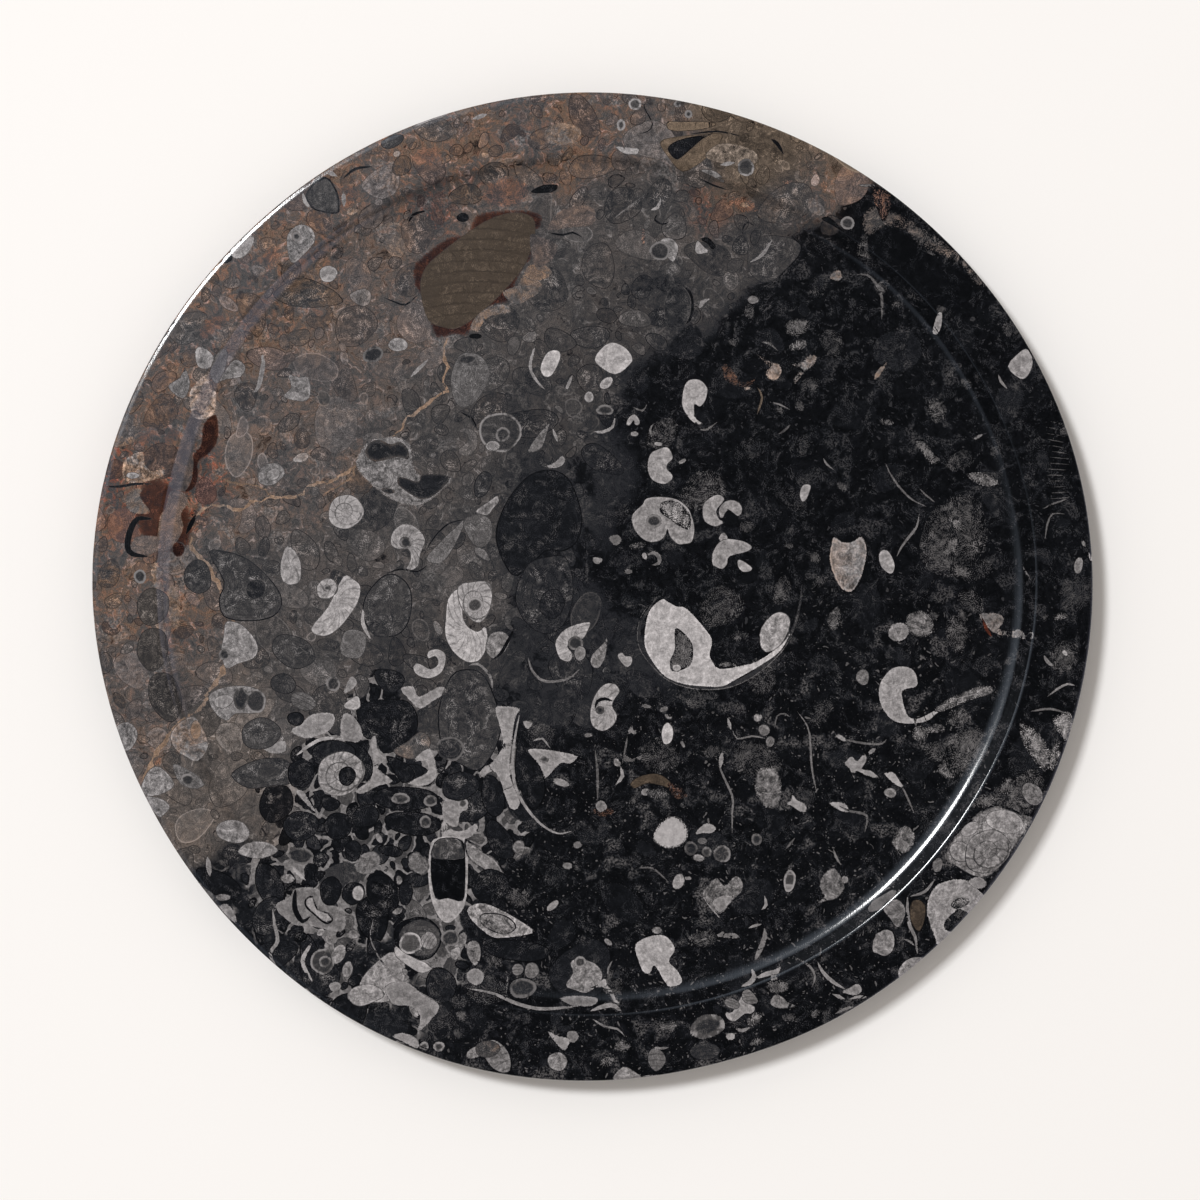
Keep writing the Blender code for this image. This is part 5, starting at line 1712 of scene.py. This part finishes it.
# What the polish mirrors besides the softbox: the zenith angle and bearing of its middle, its
# full and its last angle from there, and its colour
GLOWS = {
    "haze round the softbox": (28.0, 139.0, 10.0, 25.0, (0.85, 1.00, 1.20)),
    "dim panel at the left": (24.0, 217.0, 4.0, 12.0, (0.30, 0.35, 0.43)),
    "pale wall at the right": (65.0, -22.0, 20.0, 42.0, (0.95, 0.95, 1.20)),
    "far wall at the upper left": (75.0, 139.0, 10.0, 34.0, (0.20, 0.22, 0.24)),
}
# The room as it lights the stone and the floor, as the polish mirrors it between the glows, and as
# the camera sees it past the floor
ROOM_LIGHT = (0.47, 0.435, 0.405)
ROOM_MIRRORED = (0.035, 0.038, 0.045)
ROOM_SEEN = (0.88, 0.87, 0.86, 1.0)


def set_room_light(scene, studio):
    """A room that lights the plate evenly, and shows in the polish as dark, with a few glows."""
    world = bpy.data.worlds.new("studio room")
    world.use_nodes = True
    scene.world = world
    graph = Graph(world.node_tree)
    background = world.node_tree.nodes["Background"]
    direction = graph.node("ShaderNodeTexCoord").outputs["Generated"]

    mirrored = ROOM_MIRRORED
    for zenith, bearing, full, last, colour in GLOWS.values():
        middle = direction_from(math.radians(zenith), math.radians(bearing))
        near = graph.dot(direction, tuple(middle))
        glow = graph.ease(near, math.cos(math.radians(last)), math.cos(math.radians(full)))
        mirrored = graph.vector("ADD", mirrored, graph.scaled(colour, glow))
    # The room's light is a little stronger on the softbox's side
    past = graph.dot(direction, tuple(-softbox_direction(studio)))
    fill = graph.scaled(ROOM_LIGHT, graph.ease(past, -0.6, 0.4, 1.1, 0.85))

    rays = graph.node("ShaderNodeLightPath").outputs
    seen = graph.tint(rays["Is Glossy Ray"], fill, mirrored)
    graph.link(graph.tint(rays["Is Camera Ray"], seen, ROOM_SEEN), background.inputs["Color"])
    background.inputs["Strength"].default_value = studio.sky_power


SENSOR_WIDTH = 36.0


def set_camera(scene, studio):
    """A long lens straight above the plate."""
    place = (*studio.frame_centre, studio.camera_height)
    bpy.ops.object.camera_add(location=place, rotation=(0.0, 0.0, 0.0))
    camera = bpy.context.active_object
    camera.name = "camera"
    camera.data.sensor_width = SENSOR_WIDTH
    camera.data.lens = SENSOR_WIDTH * (studio.camera_height - THICKNESS * MM) / studio.frame_width
    scene.camera = camera


class PLATE_PT_panel(bpy.types.Panel):
    """The steps that make the plate, in order."""
    bl_label = "Fossil plate"
    bl_space_type = "VIEW_3D"
    bl_region_type = "UI"
    bl_category = "Fossil plate"

    def draw(self, context):
        for step in STEPS:
            self.layout.operator(step.bl_idname)


STEPS = (PLATE_OT_stone, PLATE_OT_stage)
CLASSES = (StoneSettings, StudioSettings, *STEPS, PLATE_PT_panel)


def register():
    for made in CLASSES:
        bpy.utils.register_class(made)
    bpy.types.Scene.plate_stone = bpy.props.PointerProperty(type=StoneSettings)
    bpy.types.Scene.plate_studio = bpy.props.PointerProperty(type=StudioSettings)


def unregister():
    del bpy.types.Scene.plate_studio
    del bpy.types.Scene.plate_stone
    for made in reversed(CLASSES):
        bpy.utils.unregister_class(made)


def main():
    """Make the plate and its stage."""
    register()
    bpy.ops.plate.stone()
    bpy.ops.plate.stage()


if __name__ == "__main__":
    main()
